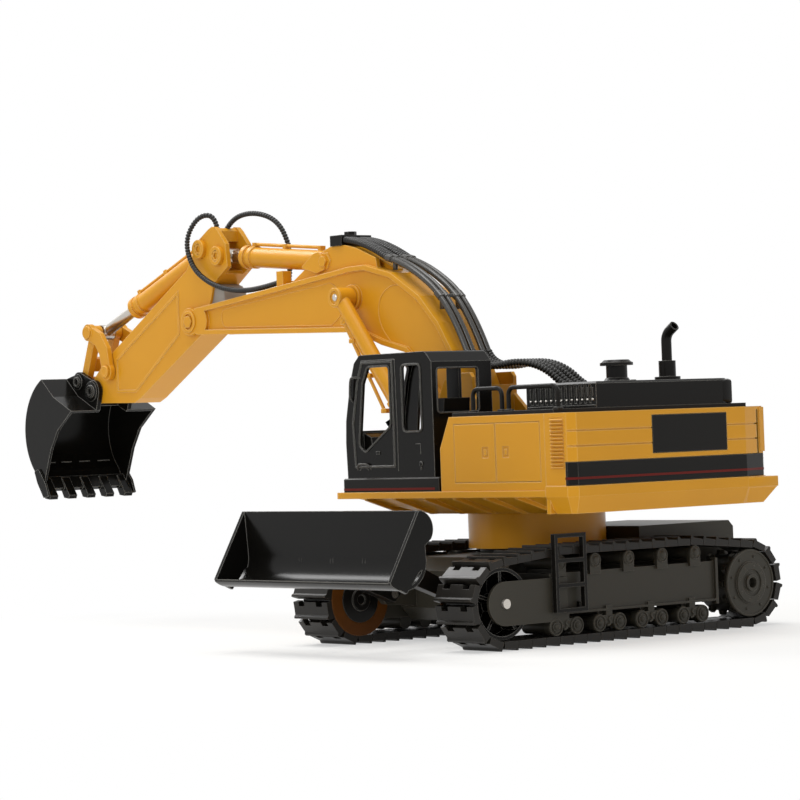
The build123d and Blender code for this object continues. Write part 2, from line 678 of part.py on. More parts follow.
LIP = 0.8
VENT_X = (-117.5, -106.5)
VENT_Z = (105.5, 135.5)
VENTS = 14
with BuildPart() as counterweight:
    with BuildSketch(level(DECK_BOTTOM)):
        add(weight_plan(0))
    extrude(amount=STRIPE_Z0 - RUN - DECK_BOTTOM)
    with BuildSketch(level(DECK_BOTTOM)):
        add(weight_plan(LIP))
    extrude(amount=HOUSE_TOP - DECK_BOTTOM)
    with BuildSketch(level(DECK_BOTTOM)):
        add(weight_plan(0))
    extrude(amount=SKIRT_BOTTOM - DECK_BOTTOM, taper=24)
    # its front, open side takes the platform and the engine housing flush
    with BuildSketch(level(SKIRT_BOTTOM)):
        with Locations((WEIGHT_FRONT - 2 * LIP, 0)):
            Rectangle(4 * LIP, 2 * (HOUSE_Y - LIP))
    extrude(amount=HOUSE_TOP - SKIRT_BOTTOM)
    with BuildSketch(level(SKIRT_BOTTOM + 2)):
        with Locations((WEIGHT_FRONT - 9, 0)):
            Rectangle(20, 2 * (HOUSE_Y - 6))
    extrude(amount=HOUSE_TOP - SKIRT_BOTTOM - 2 - WALL, mode=Mode.SUBTRACT)
    # recesses for the black panels on the rear
    with BuildSketch(level(STRIPE_Z0 - RUN)):
        add(weight_plan(0))
        add(weight_plan(LIP + RECESS), mode=Mode.SUBTRACT)
        with Locations((WEIGHT_FRONT, 0)):
            Rectangle(34, 4 * HOUSE_Y, mode=Mode.SUBTRACT)
    extrude(amount=STRIPE_Z1 - STRIPE_Z0 + 2 * RUN, mode=Mode.SUBTRACT)
    with BuildSketch(cross(REAR_X)):
        with Locations(((BADGE_Y0 + BADGE_Y1) / 2, (BADGE_Z0 + BADGE_Z1) / 2)):
            Rectangle(BADGE_Y1 - BADGE_Y0 + 2 * RUN, BADGE_Z1 - BADGE_Z0 + 2 * RUN)
    extrude(amount=LIP + RECESS, mode=Mode.SUBTRACT)
    # two steps across the rear face and round the left corner
    for z in (118.0, 127.0):
        with BuildSketch(level(z)):
            add(weight_plan(0))
            add(weight_plan(LIP + 0.5), mode=Mode.SUBTRACT)
            with Locations((WEIGHT_FRONT, 0)):
                Rectangle(38, 4 * HOUSE_Y, mode=Mode.SUBTRACT)
        extrude(amount=0.8, mode=Mode.SUBTRACT)
    # side vents
    pitch = (VENT_Z[1] - VENT_Z[0]) / VENTS
    for sign in (-1, 1):
        with BuildSketch(side(sign * (HOUSE_Y - LIP))):
            for i in range(VENTS):
                with Locations(((VENT_X[0] + VENT_X[1]) / 2 + 1.2, VENT_Z[0] + pitch * (i + 0.5))):
                    Rectangle(VENT_X[1] - VENT_X[0], pitch * 0.55)
        extrude(amount=sign * 1.4, mode=Mode.SUBTRACT)
save(counterweight.part, "rear_counterweight")

with BuildPart() as rear_panels:
    with BuildSketch(level(STRIPE_Z0)):
        add(weight_plan(LIP - 0.2))
        add(weight_plan(LIP + RECESS), mode=Mode.SUBTRACT)
        with Locations((WEIGHT_FRONT, 0)):
            Rectangle(34 + 2 * RUN, 4 * HOUSE_Y, mode=Mode.SUBTRACT)
    extrude(amount=STRIPE_Z1 - STRIPE_Z0)
    with BuildSketch(cross(REAR_X + LIP - 0.2)):
        with Locations(((BADGE_Y0 + BADGE_Y1) / 2, (BADGE_Z0 + BADGE_Z1) / 2)):
            Rectangle(BADGE_Y1 - BADGE_Y0, BADGE_Z1 - BADGE_Z0)
    extrude(amount=RECESS + 0.2)
save(rear_panels.part, "rear_black_panels")

MID_Y = 22.0          # the housing's middle block reaches forward to the boom bracket
MID_FRONT = TOWER_REAR - RUN
RIGHT_FRONT = 30.0
LEFT_FACE = ((WEIGHT_FRONT, DECK_TOP), (HOUSING_FRONT, DECK_TOP), (HOUSING_FRONT, 119.0),
             (HOUSING_FRONT - 9.0, HOUSE_TOP), (WEIGHT_FRONT, HOUSE_TOP))
DOOR_Z = (98.0, 133.5)
DOOR_XS = ((-96.0, -56.8), (-56.5, -19.3))
DOOR_T = 1.2
with BuildPart() as housing:
    with BuildSketch(side(HOUSE_Y - LIP)):
        Polygon(*LEFT_FACE, align=None)
    extrude(amount=HOUSE_Y - LIP - MID_Y)
    with BuildSketch(level(DECK_TOP)):
        with Locations(((WEIGHT_FRONT + MID_FRONT) / 2, 0)):
            Rectangle(MID_FRONT - WEIGHT_FRONT, 2 * MID_Y)
        with Locations(((WEIGHT_FRONT + RIGHT_FRONT) / 2, -(HOUSE_Y - LIP + MID_Y) / 2)):
            Rectangle(RIGHT_FRONT - WEIGHT_FRONT, HOUSE_Y - LIP - MID_Y)
    extrude(amount=HOUSE_TOP - DECK_TOP)
    # hollow from below
    with BuildSketch(level(DECK_TOP)):
        with Locations(((WEIGHT_FRONT + HOUSING_FRONT - 9) / 2, MID_Y)):
            Rectangle(HOUSING_FRONT - 9 - WEIGHT_FRONT - 2 * WALL, 2 * (HOUSE_Y - LIP - MID_Y - 2 * WALL))
        with Locations(((WEIGHT_FRONT + MID_FRONT) / 2, 0)):
            Rectangle(MID_FRONT - WEIGHT_FRONT - 2 * WALL, 2 * (MID_Y - WALL))
        with Locations(((WEIGHT_FRONT + RIGHT_FRONT) / 2, -(HOUSE_Y - LIP + MID_Y) / 2)):
            Rectangle(RIGHT_FRONT - WEIGHT_FRONT - 2 * WALL, HOUSE_Y - LIP - MID_Y - 2 * WALL)
    extrude(amount=HOUSE_TOP - DECK_TOP - WALL, mode=Mode.SUBTRACT)
    # pockets for the two service doors
    for x0, x1 in DOOR_XS:
        with BuildSketch(side(HOUSE_Y - LIP)):
            with Locations(((x0 + x1) / 2, sum(DOOR_Z) / 2)):
                Rectangle(x1 - x0, DOOR_Z[1] - DOOR_Z[0])
        extrude(amount=DOOR_T, mode=Mode.SUBTRACT)
save(housing.part, "engine_housing")

with BuildPart() as doors:
    for (x0, x1), latch_x in zip(DOOR_XS, (-65.7, -47.3)):
        with BuildSketch(side(HOUSE_Y - LIP)):
            with Locations(((x0 + x1) / 2, sum(DOOR_Z) / 2)):
                Rectangle(x1 - x0 - 2 * RUN, DOOR_Z[1] - DOOR_Z[0] - 2 * RUN)
        extrude(amount=DOOR_T)
        with BuildSketch(side(HOUSE_Y - LIP)):
            with Locations((latch_x, 116.0)):
                Rectangle(5.4, 6.4)
                Rectangle(2.6, 3.6, mode=Mode.SUBTRACT)
        extrude(amount=0.6, mode=Mode.SUBTRACT)
save(doors.part, "left_service_doors")

WALK_REAR = -107.0
with BuildPart() as walkway:
    with BuildSketch(level(HOUSE_TOP)):
        with Locations(((WALK_REAR + HOUSING_FRONT - 9) / 2, 0)):
            Rectangle(HOUSING_FRONT - 9 - WALK_REAR - 2, 2 * (HOUSE_Y - 3))
        with Locations(((WALK_REAR + MID_FRONT) / 2, 0)):
            Rectangle(MID_FRONT - WALK_REAR - 2, 2 * (MID_Y - 1))
    extrude(amount=WALK_T)
save(walkway.part, "walkway_plate")

HOOD_BASE = HOUSE_TOP + WALK_T
with BuildPart() as hood:
    with BuildSketch(level(HOOD_BASE)):
        with Locations(((HOOD_X0 + HOOD_X1) / 2, (HOOD_Y0 + HOOD_Y1) / 2)):
            Rectangle(HOOD_X1 - HOOD_X0, HOOD_Y1 - HOOD_Y0)
    extrude(amount=HOOD_TOP - HOOD_BASE)
    fillet(hood.edges().filter_by(Axis.Z).group_by(Axis.Y)[0], radius=10)
    chamfer(hood.faces().sort_by(Axis.Z)[-1].edges(), length=1.2)
    with BuildSketch(level(HOOD_BASE)):
        with Locations(((HOOD_X0 + HOOD_X1) / 2, (HOOD_Y0 + HOOD_Y1) / 2)):
            Rectangle(HOOD_X1 - HOOD_X0 - 2 * WALL - 4, HOOD_Y1 - HOOD_Y0 - 2 * WALL - 4)
    extrude(amount=HOOD_TOP - HOOD_BASE - WALL, mode=Mode.SUBTRACT)
    pitch = (HOOD_X1 - HOOD_X0 - 6) / LOUVRES
    with BuildSketch(side(HOOD_Y1)):
        for i in range(LOUVRES):
            with Locations((HOOD_X0 + 3 + pitch * (i + 0.5), (HOOD_BASE + HOOD_TOP) / 2 + 0.4)):
                Rectangle(pitch * 0.45, HOOD_TOP - HOOD_BASE - 5)
    extrude(amount=1.2, mode=Mode.SUBTRACT)
save(hood.part, "engine_hood")

EXHAUST = (-75.0, -45.0)
with BuildPart() as exhaust:
    for z0, z1, r in ((HOOD_TOP, HOOD_TOP + 2.2, 8.0), (HOOD_TOP + 2.2, 168.0, 5.3)):
        with BuildSketch(level(z0)):
            with Locations(EXHAUST):
                Circle(r)
        extrude(amount=z1 - z0)
    # pipe with an elbow that leans rearwards, cut off at an angle
    with BuildLine() as stack:
        up = Line((EXHAUST[0], EXHAUST[1], 166.0), (EXHAUST[0], EXHAUST[1], 180.0))
        bend = TangentArc(up @ 1, (EXHAUST[0] - 3.4, EXHAUST[1], 186.4), tangent=up % 1)
        Line(bend @ 1, (bend @ 1) + (bend % 1) * 5.0)
    with BuildSketch(Plane(origin=up @ 0, z_dir=(0, 0, 1))):
        Circle(3.2)
    sweep(path=stack.line)
    tip = exhaust.faces().sort_by(Axis.Z)[-1]
    with BuildSketch(Plane(tip)):
        Circle(2.3)
    extrude(amount=-6, mode=Mode.SUBTRACT)
save(exhaust.part, "exhaust_stack")

INTAKE = (-87.0, 10.0)
with BuildPart() as intake:
    for z0, r, height, lean in ((HOOD_TOP, 8.2, 2.0, 35), (HOOD_TOP + 2, 6.4, 7.4, 0),
                                (HOOD_TOP + 9.4, 10.0, 1.8, 0), (HOOD_TOP + 11.2, 9.4, 1.6, 50)):
        with BuildSketch(level(z0)):
            with Locations(INTAKE):
                Circle(r)
        extrude(amount=height, taper=lean)
save(intake.part, "air_intake")

RAIL_R = 1.35
RAIL_Y = 75.0
RAIL_TOP = 154.2
with BuildPart() as rails:
    for x0, x1 in ((-55.0, -29.0), (-110.0 + 6, -61.0)):
        with BuildLine(side(RAIL_Y)) as bow:
            FilletPolyline((x0, HOOD_BASE), (x0, RAIL_TOP), (x1, RAIL_TOP), (x1, HOOD_BASE), radius=4.5)
        with BuildSketch(Plane(origin=bow.line @ 0, z_dir=bow.line % 0)):
            Circle(RAIL_R)
        sweep(path=bow.line)
        for x in (x0, x1):
            with BuildSketch(level(HOOD_BASE)):
                with Locations((x, RAIL_Y)):
                    Circle(2.3)
            extrude(amount=1.0)
save(rails.part, "handrails")

# ---------------------------------------------------------------- cab
with BuildPart() as cab_base:
    with BuildSketch(level(DECK_TOP)):
        with Locations(((CAB_X0 + CAB_X1) / 2 - 0.9, (CAB_Y0 + CAB_Y1) / 2)):
            Rectangle(CAB_X1 - CAB_X0 + 6.9, CAB_Y1 - CAB_Y0 + 1.6)
    extrude(amount=CAB_FLOOR - DECK_TOP)
    chamfer(cab_base.edges().group_by(Axis.Z)[-1], length=0.6)
save(cab_base.part, "cab_base")

CAB_SIDE = ((CAB_X0, CAB_FLOOR), (CAB_X1 - 0.8, CAB_FLOOR), (CAB_X1, 124.0), (CAB_X1 - 0.8, 138.0),
            (CAB_X1 - 6, 161.5), (CAB_X1 - 10.5, 174.0), (CAB_X1 - 16, CAB_TOP), (CAB_X0 + 6, CAB_TOP),
            (CAB_X0, 172.5))
CAB_DOOR = ((40.0, 108.5), (79.0, 108.5), (80.5, 136.0), (75.0, 162.0), (70.0, 174.5), (40.0, 174.5))
DOOR_WINDOW = ((64.1, 171.5), (43.0, 171.5), (43.0, 134.0), (68.7, 117.7), (74.6, 122.4), (69.6, 160.9))
REAR_SIDE_WINDOW = ((31.4, 171.5), (13.4, 171.5), (13.4, 130.0), (31.4, 130.0))
with BuildPart() as cab:
    with BuildSketch(side(CAB_Y1)):
        Polygon(*CAB_SIDE, align=None)
    extrude(amount=CAB_Y1 - CAB_Y0)
    fillet(cab.edges().filter_by(Axis.Y).group_by(Axis.Z)[-1], radius=3)
    with BuildSketch(side(CAB_Y1 - CAB_WALL)):
        Polygon(*CAB_SIDE, align=None)
        offset(amount=-CAB_WALL, kind=Kind.INTERSECTION)
        with Locations(((CAB_X0 + CAB_X1) / 2, CAB_FLOOR + 3)):
            Rectangle(CAB_X1 - CAB_X0 - 2 * CAB_WALL - 1, 8)
    extrude(amount=CAB_Y1 - CAB_Y0 - 2 * CAB_WALL, mode=Mode.SUBTRACT)
    # side windows go through both walls
    for outline in (DOOR_WINDOW, REAR_SIDE_WINDOW):
        with BuildSketch(side(CAB_Y1 + 1)) as pane:
            Polygon(*outline, align=None)
            fillet(pane.vertices(), radius=2.6)
        extrude(amount=CAB_Y1 - CAB_Y0 + 2, mode=Mode.SUBTRACT)
    with BuildSketch(cross(CAB_X0 - 2)):
        with Locations((59.0, 154.8)):
            RectangleRounded(34, 27.5, 2.5)
    extrude(amount=8, mode=Mode.SUBTRACT)
    with BuildSketch(cross(CAB_X1 - 18)):
        with Locations(((CAB_Y0 + CAB_Y1) / 2, 141.0)):
            RectangleRounded(CAB_Y1 - CAB_Y0 - 9, 62, 3)
    extrude(amount=24, mode=Mode.SUBTRACT)
    # raised frame of the door, and its grab handle
    with BuildSketch(side(CAB_Y1 + 0.7)):
        Polygon(*CAB_DOOR, align=None)
        offset(amount=-0.9, kind=Kind.INTERSECTION, mode=Mode.SUBTRACT)
    extrude(amount=0.7)
save(cab.part, "cab_shell")

with BuildPart() as interior:
    with BuildSketch(level(CAB_FLOOR)):
        with Locations((40, (CAB_Y0 + CAB_Y1) / 2)):
            Rectangle(66, CAB_Y1 - CAB_Y0 - 2 * CAB_WALL - 2)
    extrude(amount=2)
    with BuildSketch(side(66)):
        Polygon((12, CAB_FLOOR), (34, CAB_FLOOR), (34, 112), (38, 116), (38, 122), (20, 120), (14, 150), (8, 150),
                (11, 116), align=None)
    extrude(amount=21)
    for y in (38.5, 72.0):
        with BuildSketch(level(CAB_FLOOR)):
            with Locations((44, y)):
                Rectangle(16, 6)
        extrude(amount=18)
        with BuildSketch(level(CAB_FLOOR + 18)):
            with Locations((47, y)):
                Circle(1.3)
        extrude(amount=9)
        with Locations((47, y, CAB_FLOOR + 28)):
            Sphere(2.4)
save(interior.part, "cab_interior")

with BuildPart() as boxes:
    with BuildSketch(level(DECK_TOP)):
        with Locations((46.5, -59)):
            Rectangle(31, 49)
    extrude(amount=33)
    with BuildSketch(level(DECK_TOP)):
        with Locations((77.8, -59)):
            Rectangle(30.5, 49)
    extrude(amount=18)
    chamfer(boxes.edges().group_by(Axis.Z)[-1], length=1.5)
save(boxes.part, "right_tank_and_toolbox")

with BuildPart() as board:
    with BuildSketch(level(DECK_TOP + 8)):
        with Locations((-50, 0)):
            Rectangle(70, 34)
    extrude(amount=1.6)
    with Locations((-64, -6, DECK_TOP + 11.1), (-40, 6, DECK_TOP + 11.1)):
        Box(14, 10, 3)
    with BuildSketch(level(DECK_TOP)):
        with Locations((-50, 0)):
            with GridLocations(62, 26, 2, 2):
                Circle(2.4)
    extrude(amount=8)
save(board.part, "control_board")

# ---------------------------------------------------------------- boom bracket
LUG_IN = (19.4, 21.2)
LUG_OUT = (28.0, 29.8)
with BuildPart() as tower:
    for y in (TOWER_OUT, -TOWER_IN):
        with BuildSketch(side(y)):
            Polygon((TOWER_REAR, DECK_TOP), (TOWER_FRONT, DECK_TOP), (TOWER_FRONT, 110.0), (68.0, 150.0),
                    (62.0, 162.0), (54.0, TOWER_TOP), (TOWER_REAR + 2, TOWER_TOP), (TOWER_REAR, 163.0), align=None)
            with Locations(BOOM_FOOT):
                Circle(PIN_R, mode=Mode.SUBTRACT)
        extrude(amount=TOWER_OUT - TOWER_IN)
        with BuildSketch(side(y)):
            Polygon((TOWER_REAR, 152.0), (22.5, HOOD_BASE + RUN), (TOWER_REAR, HOOD_BASE + RUN), align=None)
        extrude(amount=TOWER_OUT - TOWER_IN)
    with BuildSketch(cross(TOWER_REAR)):
        with Locations((0, (DECK_TOP + 158) / 2)):
            Rectangle(2 * TOWER_OUT - 1, 158 - DECK_TOP)
    extrude(amount=2.4)
    with BuildSketch(level(DECK_TOP)):
        with Locations(((TOWER_REAR + TOWER_FRONT) / 2, 0)):
            Rectangle(TOWER_FRONT - TOWER_REAR, 2 * TOWER_OUT - 1)
        with Locations((BOOM_CYL_FOOT[0], 0)):
            Rectangle(12, 2 * LUG_OUT[1])
    extrude(amount=2)
    # lugs for the feet of the two boom cylinders, with their pins
    for sign in (-1, 1):
        for y0, y1 in (LUG_IN, LUG_OUT):
            with BuildSketch(side(sign * y1)):
                with Locations(BOOM_CYL_FOOT):
                    Circle(5.4)
                with Locations((BOOM_CYL_FOOT[0], (BOOM_CYL_FOOT[1] + DECK_TOP) / 2)):
                    Rectangle(10.8, BOOM_CYL_FOOT[1] - DECK_TOP)
            extrude(amount=sign * (y1 - y0))
save(tower.part, "boom_bracket")

with BuildPart() as foot_pin:
    with BuildSketch(side(TOWER_OUT)):
        with Locations(BOOM_FOOT):
            Circle(PIN_R)
    extrude(amount=2 * TOWER_OUT)
    for y, way in ((TOWER_OUT, -1), (-TOWER_OUT, 1)):
        with BuildSketch(side(y)):
            with Locations(BOOM_FOOT):
                Circle(PIN_R + 1.6)
        extrude(amount=way * 0.45)
save(foot_pin.part, "boom_foot_pin")


# ================================================================ boom
BOOM_SIDE = ((327.0, 222.6), (228.0, 233.0), (159.0, 240.5), (143.0, 240.8), (116.0, 234.0), (88.0, 217.4),
             (70.0, 199.3), (58.0, 181.5), (44.5, 152.5), (61.6, 140.0), (104.0, 181.7), (127.0, 187.3),
             (153.6, 197.0), (328.0, 203.4))
BOOM_EYE_R = 10.0
NOSE_R = 9.7
FORK_X = 298.0
FORK_Y = ARM_HALF + 0.4
CHEEK_IN = 8.2
CHEEK_TOP_Z = 255.5
CHEEKS = ((228.0, 232.0), (191.0, 252.6), (182.0, CHEEK_TOP_Z), (166.0, CHEEK_TOP_Z), (154.6, 252.9),
          (135.0, 245.2), (133.0, 236.0))
with BuildPart() as boom:
    with BuildSketch(side(BOOM_WEB)):
        Polygon(*BOOM_SIDE, align=None)
        with Locations(BOOM_FOOT):
            Circle(BOOM_EYE_R)
        with Locations(ARM_PIVOT):
            Circle(NOSE_R)
    extrude(amount=2 * BOOM_WEB)
    # raised rims round both side faces, round bosses over the two pivots
    for sign in (-1, 1):
        with BuildSketch(side(sign * BOOM_WEB)) as rim:
            Polygon(*BOOM_SIDE, align=None)
            offset(amount=-RIM_W, kind=Kind.INTERSECTION, mode=Mode.SUBTRACT)
            with Locations(BOOM_FOOT):
                Circle(BOOM_EYE_R)
            with Locations(ARM_PIVOT, (328.0, 213.0)):
                Circle(NOSE_R)
        extrude(amount=-sign * (BOOM_RIM - BOOM_WEB))
        with BuildSketch(side(sign * BOOM_WEB)):
            with Locations(BOOM_CYL_TOP):
                Circle(8.6)
        extrude(amount=-sign * (BOOM_RIM - BOOM_WEB))
        # cheeks that carry the arm cylinder
        with BuildSketch(side(sign * CHEEK_IN)):
            Polygon(*CHEEKS, align=None)
        extrude(amount=-sign * (ARM_HALF - CHEEK_IN))
        with BuildSketch(side(sign * ARM_HALF)):
            with Locations(ARM_CYL_BASE):
                RegularPolygon(6.4, 6)
        extrude(amount=-sign * 1.0)
    with BuildSketch(side(FORK_Y)):
        with Locations((FORK_X + 40, 213)):
            Rectangle(80, 60)
    extrude(amount=2 * FORK_Y, mode=Mode.SUBTRACT)
    for pin in (BOOM_CYL_TOP, ARM_PIVOT, ARM_CYL_BASE):
        with BuildSketch(side(2 * BOOM_RIM)):
            with Locations(pin):
                Circle(PIN_R)
        extrude(amount=4 * BOOM_RIM, mode=Mode.SUBTRACT)
    with BuildSketch(side(2 * BOOM_RIM)):
        with Locations(BOOM_FOOT):
            Circle(PIN_R + FIT)
    extrude(amount=4 * BOOM_RIM, mode=Mode.SUBTRACT)
save(boom.part, "boom")

HEAD_Y = 16.0         # inner end of a boom cylinder's head tube
HEAD_OUT = 29.2
with BuildPart() as boom_pins:
    for (x, z), reach, head in ((BOOM_CYL_TOP, HEAD_OUT, 0), (ARM_PIVOT, BOOM_RIM, 4.6),
                                (ARM_CYL_BASE, ARM_HALF + 1.0, 3.9)):
        with BuildSketch(side(reach)):
            with Locations((x, z)):
                Circle(PIN_R)
        extrude(amount=2 * reach)
        if head:
            for sign in (-1, 1):
                with BuildSketch(side(sign * reach)):
                    with Locations((x, z)):
                        RegularPolygon(head, 6)
                extrude(amount=-sign * 1.8)
save(boom_pins.part, "boom_pins")


def barrel(base: tuple, eye: tuple, y: float, radius: float, rod: float, length: float, depth: float) -> Part:
    """Cylinder barrel from base towards eye, bored for its rod beyond depth, with collars and a clipped pipe."""
    axis = down_the_line(base, eye, y)
    pipe_start = radius * 2.4
    with BuildPart() as body:
        with BuildSketch(axis.offset(radius * 0.5)):
            Circle(radius)
        extrude(amount=length - radius * 0.5)
        for at, collar in ((length - 11, 0.9), (length - 4, 1.2)):
            with BuildSketch(axis.offset(at)):
                Circle(radius + collar)
            extrude(amount=4)
        with BuildSketch(axis.offset(pipe_start)):
            with Locations((0, radius + 2.0)):
                Circle(1.2)
        extrude(amount=length - 8 - pipe_start)
        for at in (pipe_start, length * 0.55, length - 11):
            with BuildSketch(axis.offset(at)):
                with Locations((0, radius + 0.9)):
                    Rectangle(4.4, 4.6)
            extrude(amount=3)
        with BuildSketch(axis.offset(depth)):
            Circle(rod + FIT)
        extrude(amount=length, mode=Mode.SUBTRACT)
    return body.part


def rod_and_eye(base: tuple, eye: tuple, y: float, radius: float, start: float, half: float) -> Part:
    """Cylinder rod from start, measured from the base pivot, to an eye that is 2 half wide."""
    with BuildPart() as body:
        with BuildSketch(down_the_line(base, eye, y).offset(start)):
            Circle(radius)
        extrude(amount=math.dist(base, eye) - start - EYE_R * 0.6)
        with BuildSketch(side(y + half)):
            with Locations(eye):
                Circle(EYE_R)
        extrude(amount=2 * half)
    return body.part


BOOM_BARREL = 96.0
blanks = [barrel(BOOM_CYL_TOP, BOOM_CYL_FOOT, y, BARREL_R, ROD_R, BOOM_BARREL, 26.0) for y in (-CYL_Y, CYL_Y)]
with BuildPart() as boom_barrels:
    add(blanks)
    for sign in (-1, 1):
        with BuildSketch(side(sign * HEAD_Y)):
            with Locations(BOOM_CYL_TOP):
                Circle(6.6)
        extrude(amount=-sign * (HEAD_OUT - HEAD_Y))
        with BuildSketch(side(sign * (HEAD_Y - 1))):
            with Locations(BOOM_CYL_TOP):
                Circle(PIN_R + FIT)
        extrude(amount=-sign * (HEAD_OUT - HEAD_Y + 2), mode=Mode.SUBTRACT)
save(boom_barrels.part, "boom_cylinder_barrels")

boom_rods = [rod_and_eye(BOOM_CYL_TOP, BOOM_CYL_FOOT, y, ROD_R, 52.0, EYE_HALF) for y in (-CYL_Y, CYL_Y)]
save(Compound(children=boom_rods), "boom_cylinder_rods")

SLIM_BARREL = 101.0
SLIM_EYE = 7.7
for name, base, eye, length in (("arm_cylinder", ARM_CYL_BASE, ARM_CYL_EYE, SLIM_BARREL),
                                ("bucket_cylinder", BUCKET_CYL_BASE, ROCKER_KNOB, SLIM_BARREL + 2)):
    blank = barrel(base, eye, 0, SLIM_BARREL_R, SLIM_ROD_R, length, 24.0)
    with BuildPart() as slim_barrel:
        add(blank)
        with BuildSketch(side(SLIM_EYE)):
            with Locations(base):
                Circle(SLIM_BARREL_R)
        extrude(amount=2 * SLIM_EYE)
        with BuildSketch(side(SLIM_EYE + 1)):
            with Locations(base):
                Circle(PIN_R + FIT)
        extrude(amount=2 * SLIM_EYE + 2, mode=Mode.SUBTRACT)
    save(slim_barrel.part, f"{name}_barrel")
    save(rod_and_eye(base, eye, 0, SLIM_ROD_R, 46.0, 4.8), f"{name}_rod")

# ================================================================ arm
ARM_BACK = ((314.2, 238.4), (317.5, 227.8), (319.4, 224.0))
ARM_SIDE = ((329.0, 204.0), (407.0, 161.0), (415.0, 157.8), (460.0, 158.9), (470.5, 172.5), (450.0, 190.0),
            (345.0, 250.0), (330.0, 270.0), (318.0, 276.9), (313.6, 278.6), (310.6, 278.2), (307.2, 275.4), (298.6, 265.6),
            (297.0, 249.4)) + ARM_BACK
TIP_R = 9.0
with BuildPart() as arm:
    with BuildSketch(side(ARM_HALF)):
        Polygon(*ARM_SIDE, align=None)
        with Locations(ARM_PIVOT):
            Circle(11.2)
        with Locations(BUCKET_PIVOT):
            Circle(TIP_R)
    extrude(amount=2 * ARM_HALF)
    # open between the ears for both cylinders
    with BuildSketch(side(ARM_HALF - ARM_WALL)):
        Polygon((285.0, 236.0), (299.0, 239.0), (306.0, 247.5), (318.0, 250.0), (345.0, 245.0), (372.0, 233.6),
                (380.0, 250.0), (360.0, 290.0), (285.0, 290.0), align=None)
    extrude(amount=2 * (ARM_HALF - ARM_WALL), mode=Mode.SUBTRACT)
    for sign in (-1, 1):
        with BuildSketch(side(sign * ARM_HALF)):
            Polygon((356.0, 205.0), (412.0, 165.5), (436.0, 166.0), (436.0, 190.5), (356.0, 236.0), align=None)
            offset(amount=-1.8, kind=Kind.INTERSECTION, mode=Mode.SUBTRACT)
        extrude(amount=-sign * 0.6)
    for pin, spare in ((ARM_PIVOT, FIT), (BUCKET_PIVOT, FIT), (ROCKER_PIVOT, 0), (BUCKET_CYL_BASE, 0),
                       (ARM_CYL_EYE, 0)):
        with BuildSketch(side(2 * ARM_HALF)):
            with Locations(pin):
                Circle(PIN_R + spare)
        extrude(amount=4 * ARM_HALF, mode=Mode.SUBTRACT)
save(arm.part, "arm")

with BuildPart() as arm_gearbox:
    with BuildSketch(side(ARM_HALF - 2)):
        Polygon(*ARM_BACK, (304.0, 224.0), (304.0, 232.0), (308.0, 236.5), align=None)
    extrude(amount=2 * ARM_HALF - 4)
save(arm_gearbox.part, "arm_root_gearbox")

with BuildPart() as arm_pins:
    for (x, z), inner in ((ROCKER_PIVOT, 0), (BUCKET_CYL_BASE, 0), (ARM_CYL_EYE, ARM_HALF - ARM_WALL)):
        outer = ROCKER_Y + ROCKER_T / 2 + RUN if (x, z) == ROCKER_PIVOT else ARM_HALF
        for sign in (-1, 1):
            with BuildSketch(side(sign * inner)):
                with Locations((x, z)):
                    Circle(PIN_R)
            extrude(amount=-sign * (outer - inner))
            with BuildSketch(side(sign * outer)):
                with Locations((x, z)):
                    Circle(PIN_R + 1.6)
            extrude(amount=-sign * 1.6, taper=12)
save(arm_pins.part, "arm_pins")

# ---------------------------------------------------------------- bucket linkage
LINK_Y = (6.0, 11.4)
STUB_IN = 5.6
with BuildPart() as rockers:
    for sign in (-1, 1):
        with BuildSketch(side(sign * (ROCKER_Y - ROCKER_T / 2))) as plate:
            with BuildLine():
                Polyline(ROCKER_PIVOT, (446.0, 197.0), (453.0, 206.0), ROCKER_KNOB)
                offset(amount=5.2, side=Side.BOTH)
            make_face()
            with Locations(ROCKER_PIVOT, ROCKER_KNOB):
                Circle(6.2)
        extrude(amount=-sign * ROCKER_T)
        # stub pins that carry the link
        with BuildSketch(side(sign * STUB_IN)):
            with Locations(ROCKER_KNOB):
                Circle(PIN_R)
        extrude(amount=-sign * (ROCKER_Y - STUB_IN))
        with BuildSketch(side(sign * (ROCKER_Y + ROCKER_T / 2))):
            with Locations(ROCKER_KNOB):
                Circle(5.0)
        extrude(amount=-sign * 1.6, taper=15)
        with BuildSketch(side(sign * (ROCKER_Y - ROCKER_T))):
            with Locations(ROCKER_PIVOT):
                Circle(PIN_R + FIT)
        extrude(amount=-sign * 3 * ROCKER_T, mode=Mode.SUBTRACT)
save(rockers.part, "rocker_arms")

with BuildPart() as link:
    for sign in (-1, 1):
        with BuildSketch(side(sign * LINK_Y[0])):
            with BuildLine():
                Polyline(ROCKER_KNOB, BUCKET_LINK)
                offset(amount=3.6, side=Side.BOTH)
            make_face()
            with Locations(ROCKER_KNOB, BUCKET_LINK):
                Circle(5.2)
            with Locations(ROCKER_KNOB):
                Circle(PIN_R + FIT, mode=Mode.SUBTRACT)
        extrude(amount=-sign * (LINK_Y[1] - LINK_Y[0]))
    with BuildSketch(side(LINK_Y[1])):
        with Locations(BUCKET_LINK):
            Circle(4.0)
        with Locations(((ROCKER_KNOB[0] + BUCKET_LINK[0]) / 2 + 2, (ROCKER_KNOB[1] + BUCKET_LINK[1]) / 2 - 5)):
            Rectangle(5, 10, rotation=22)
    extrude(amount=2 * LINK_Y[1])
save(link.part, "bucket_link")

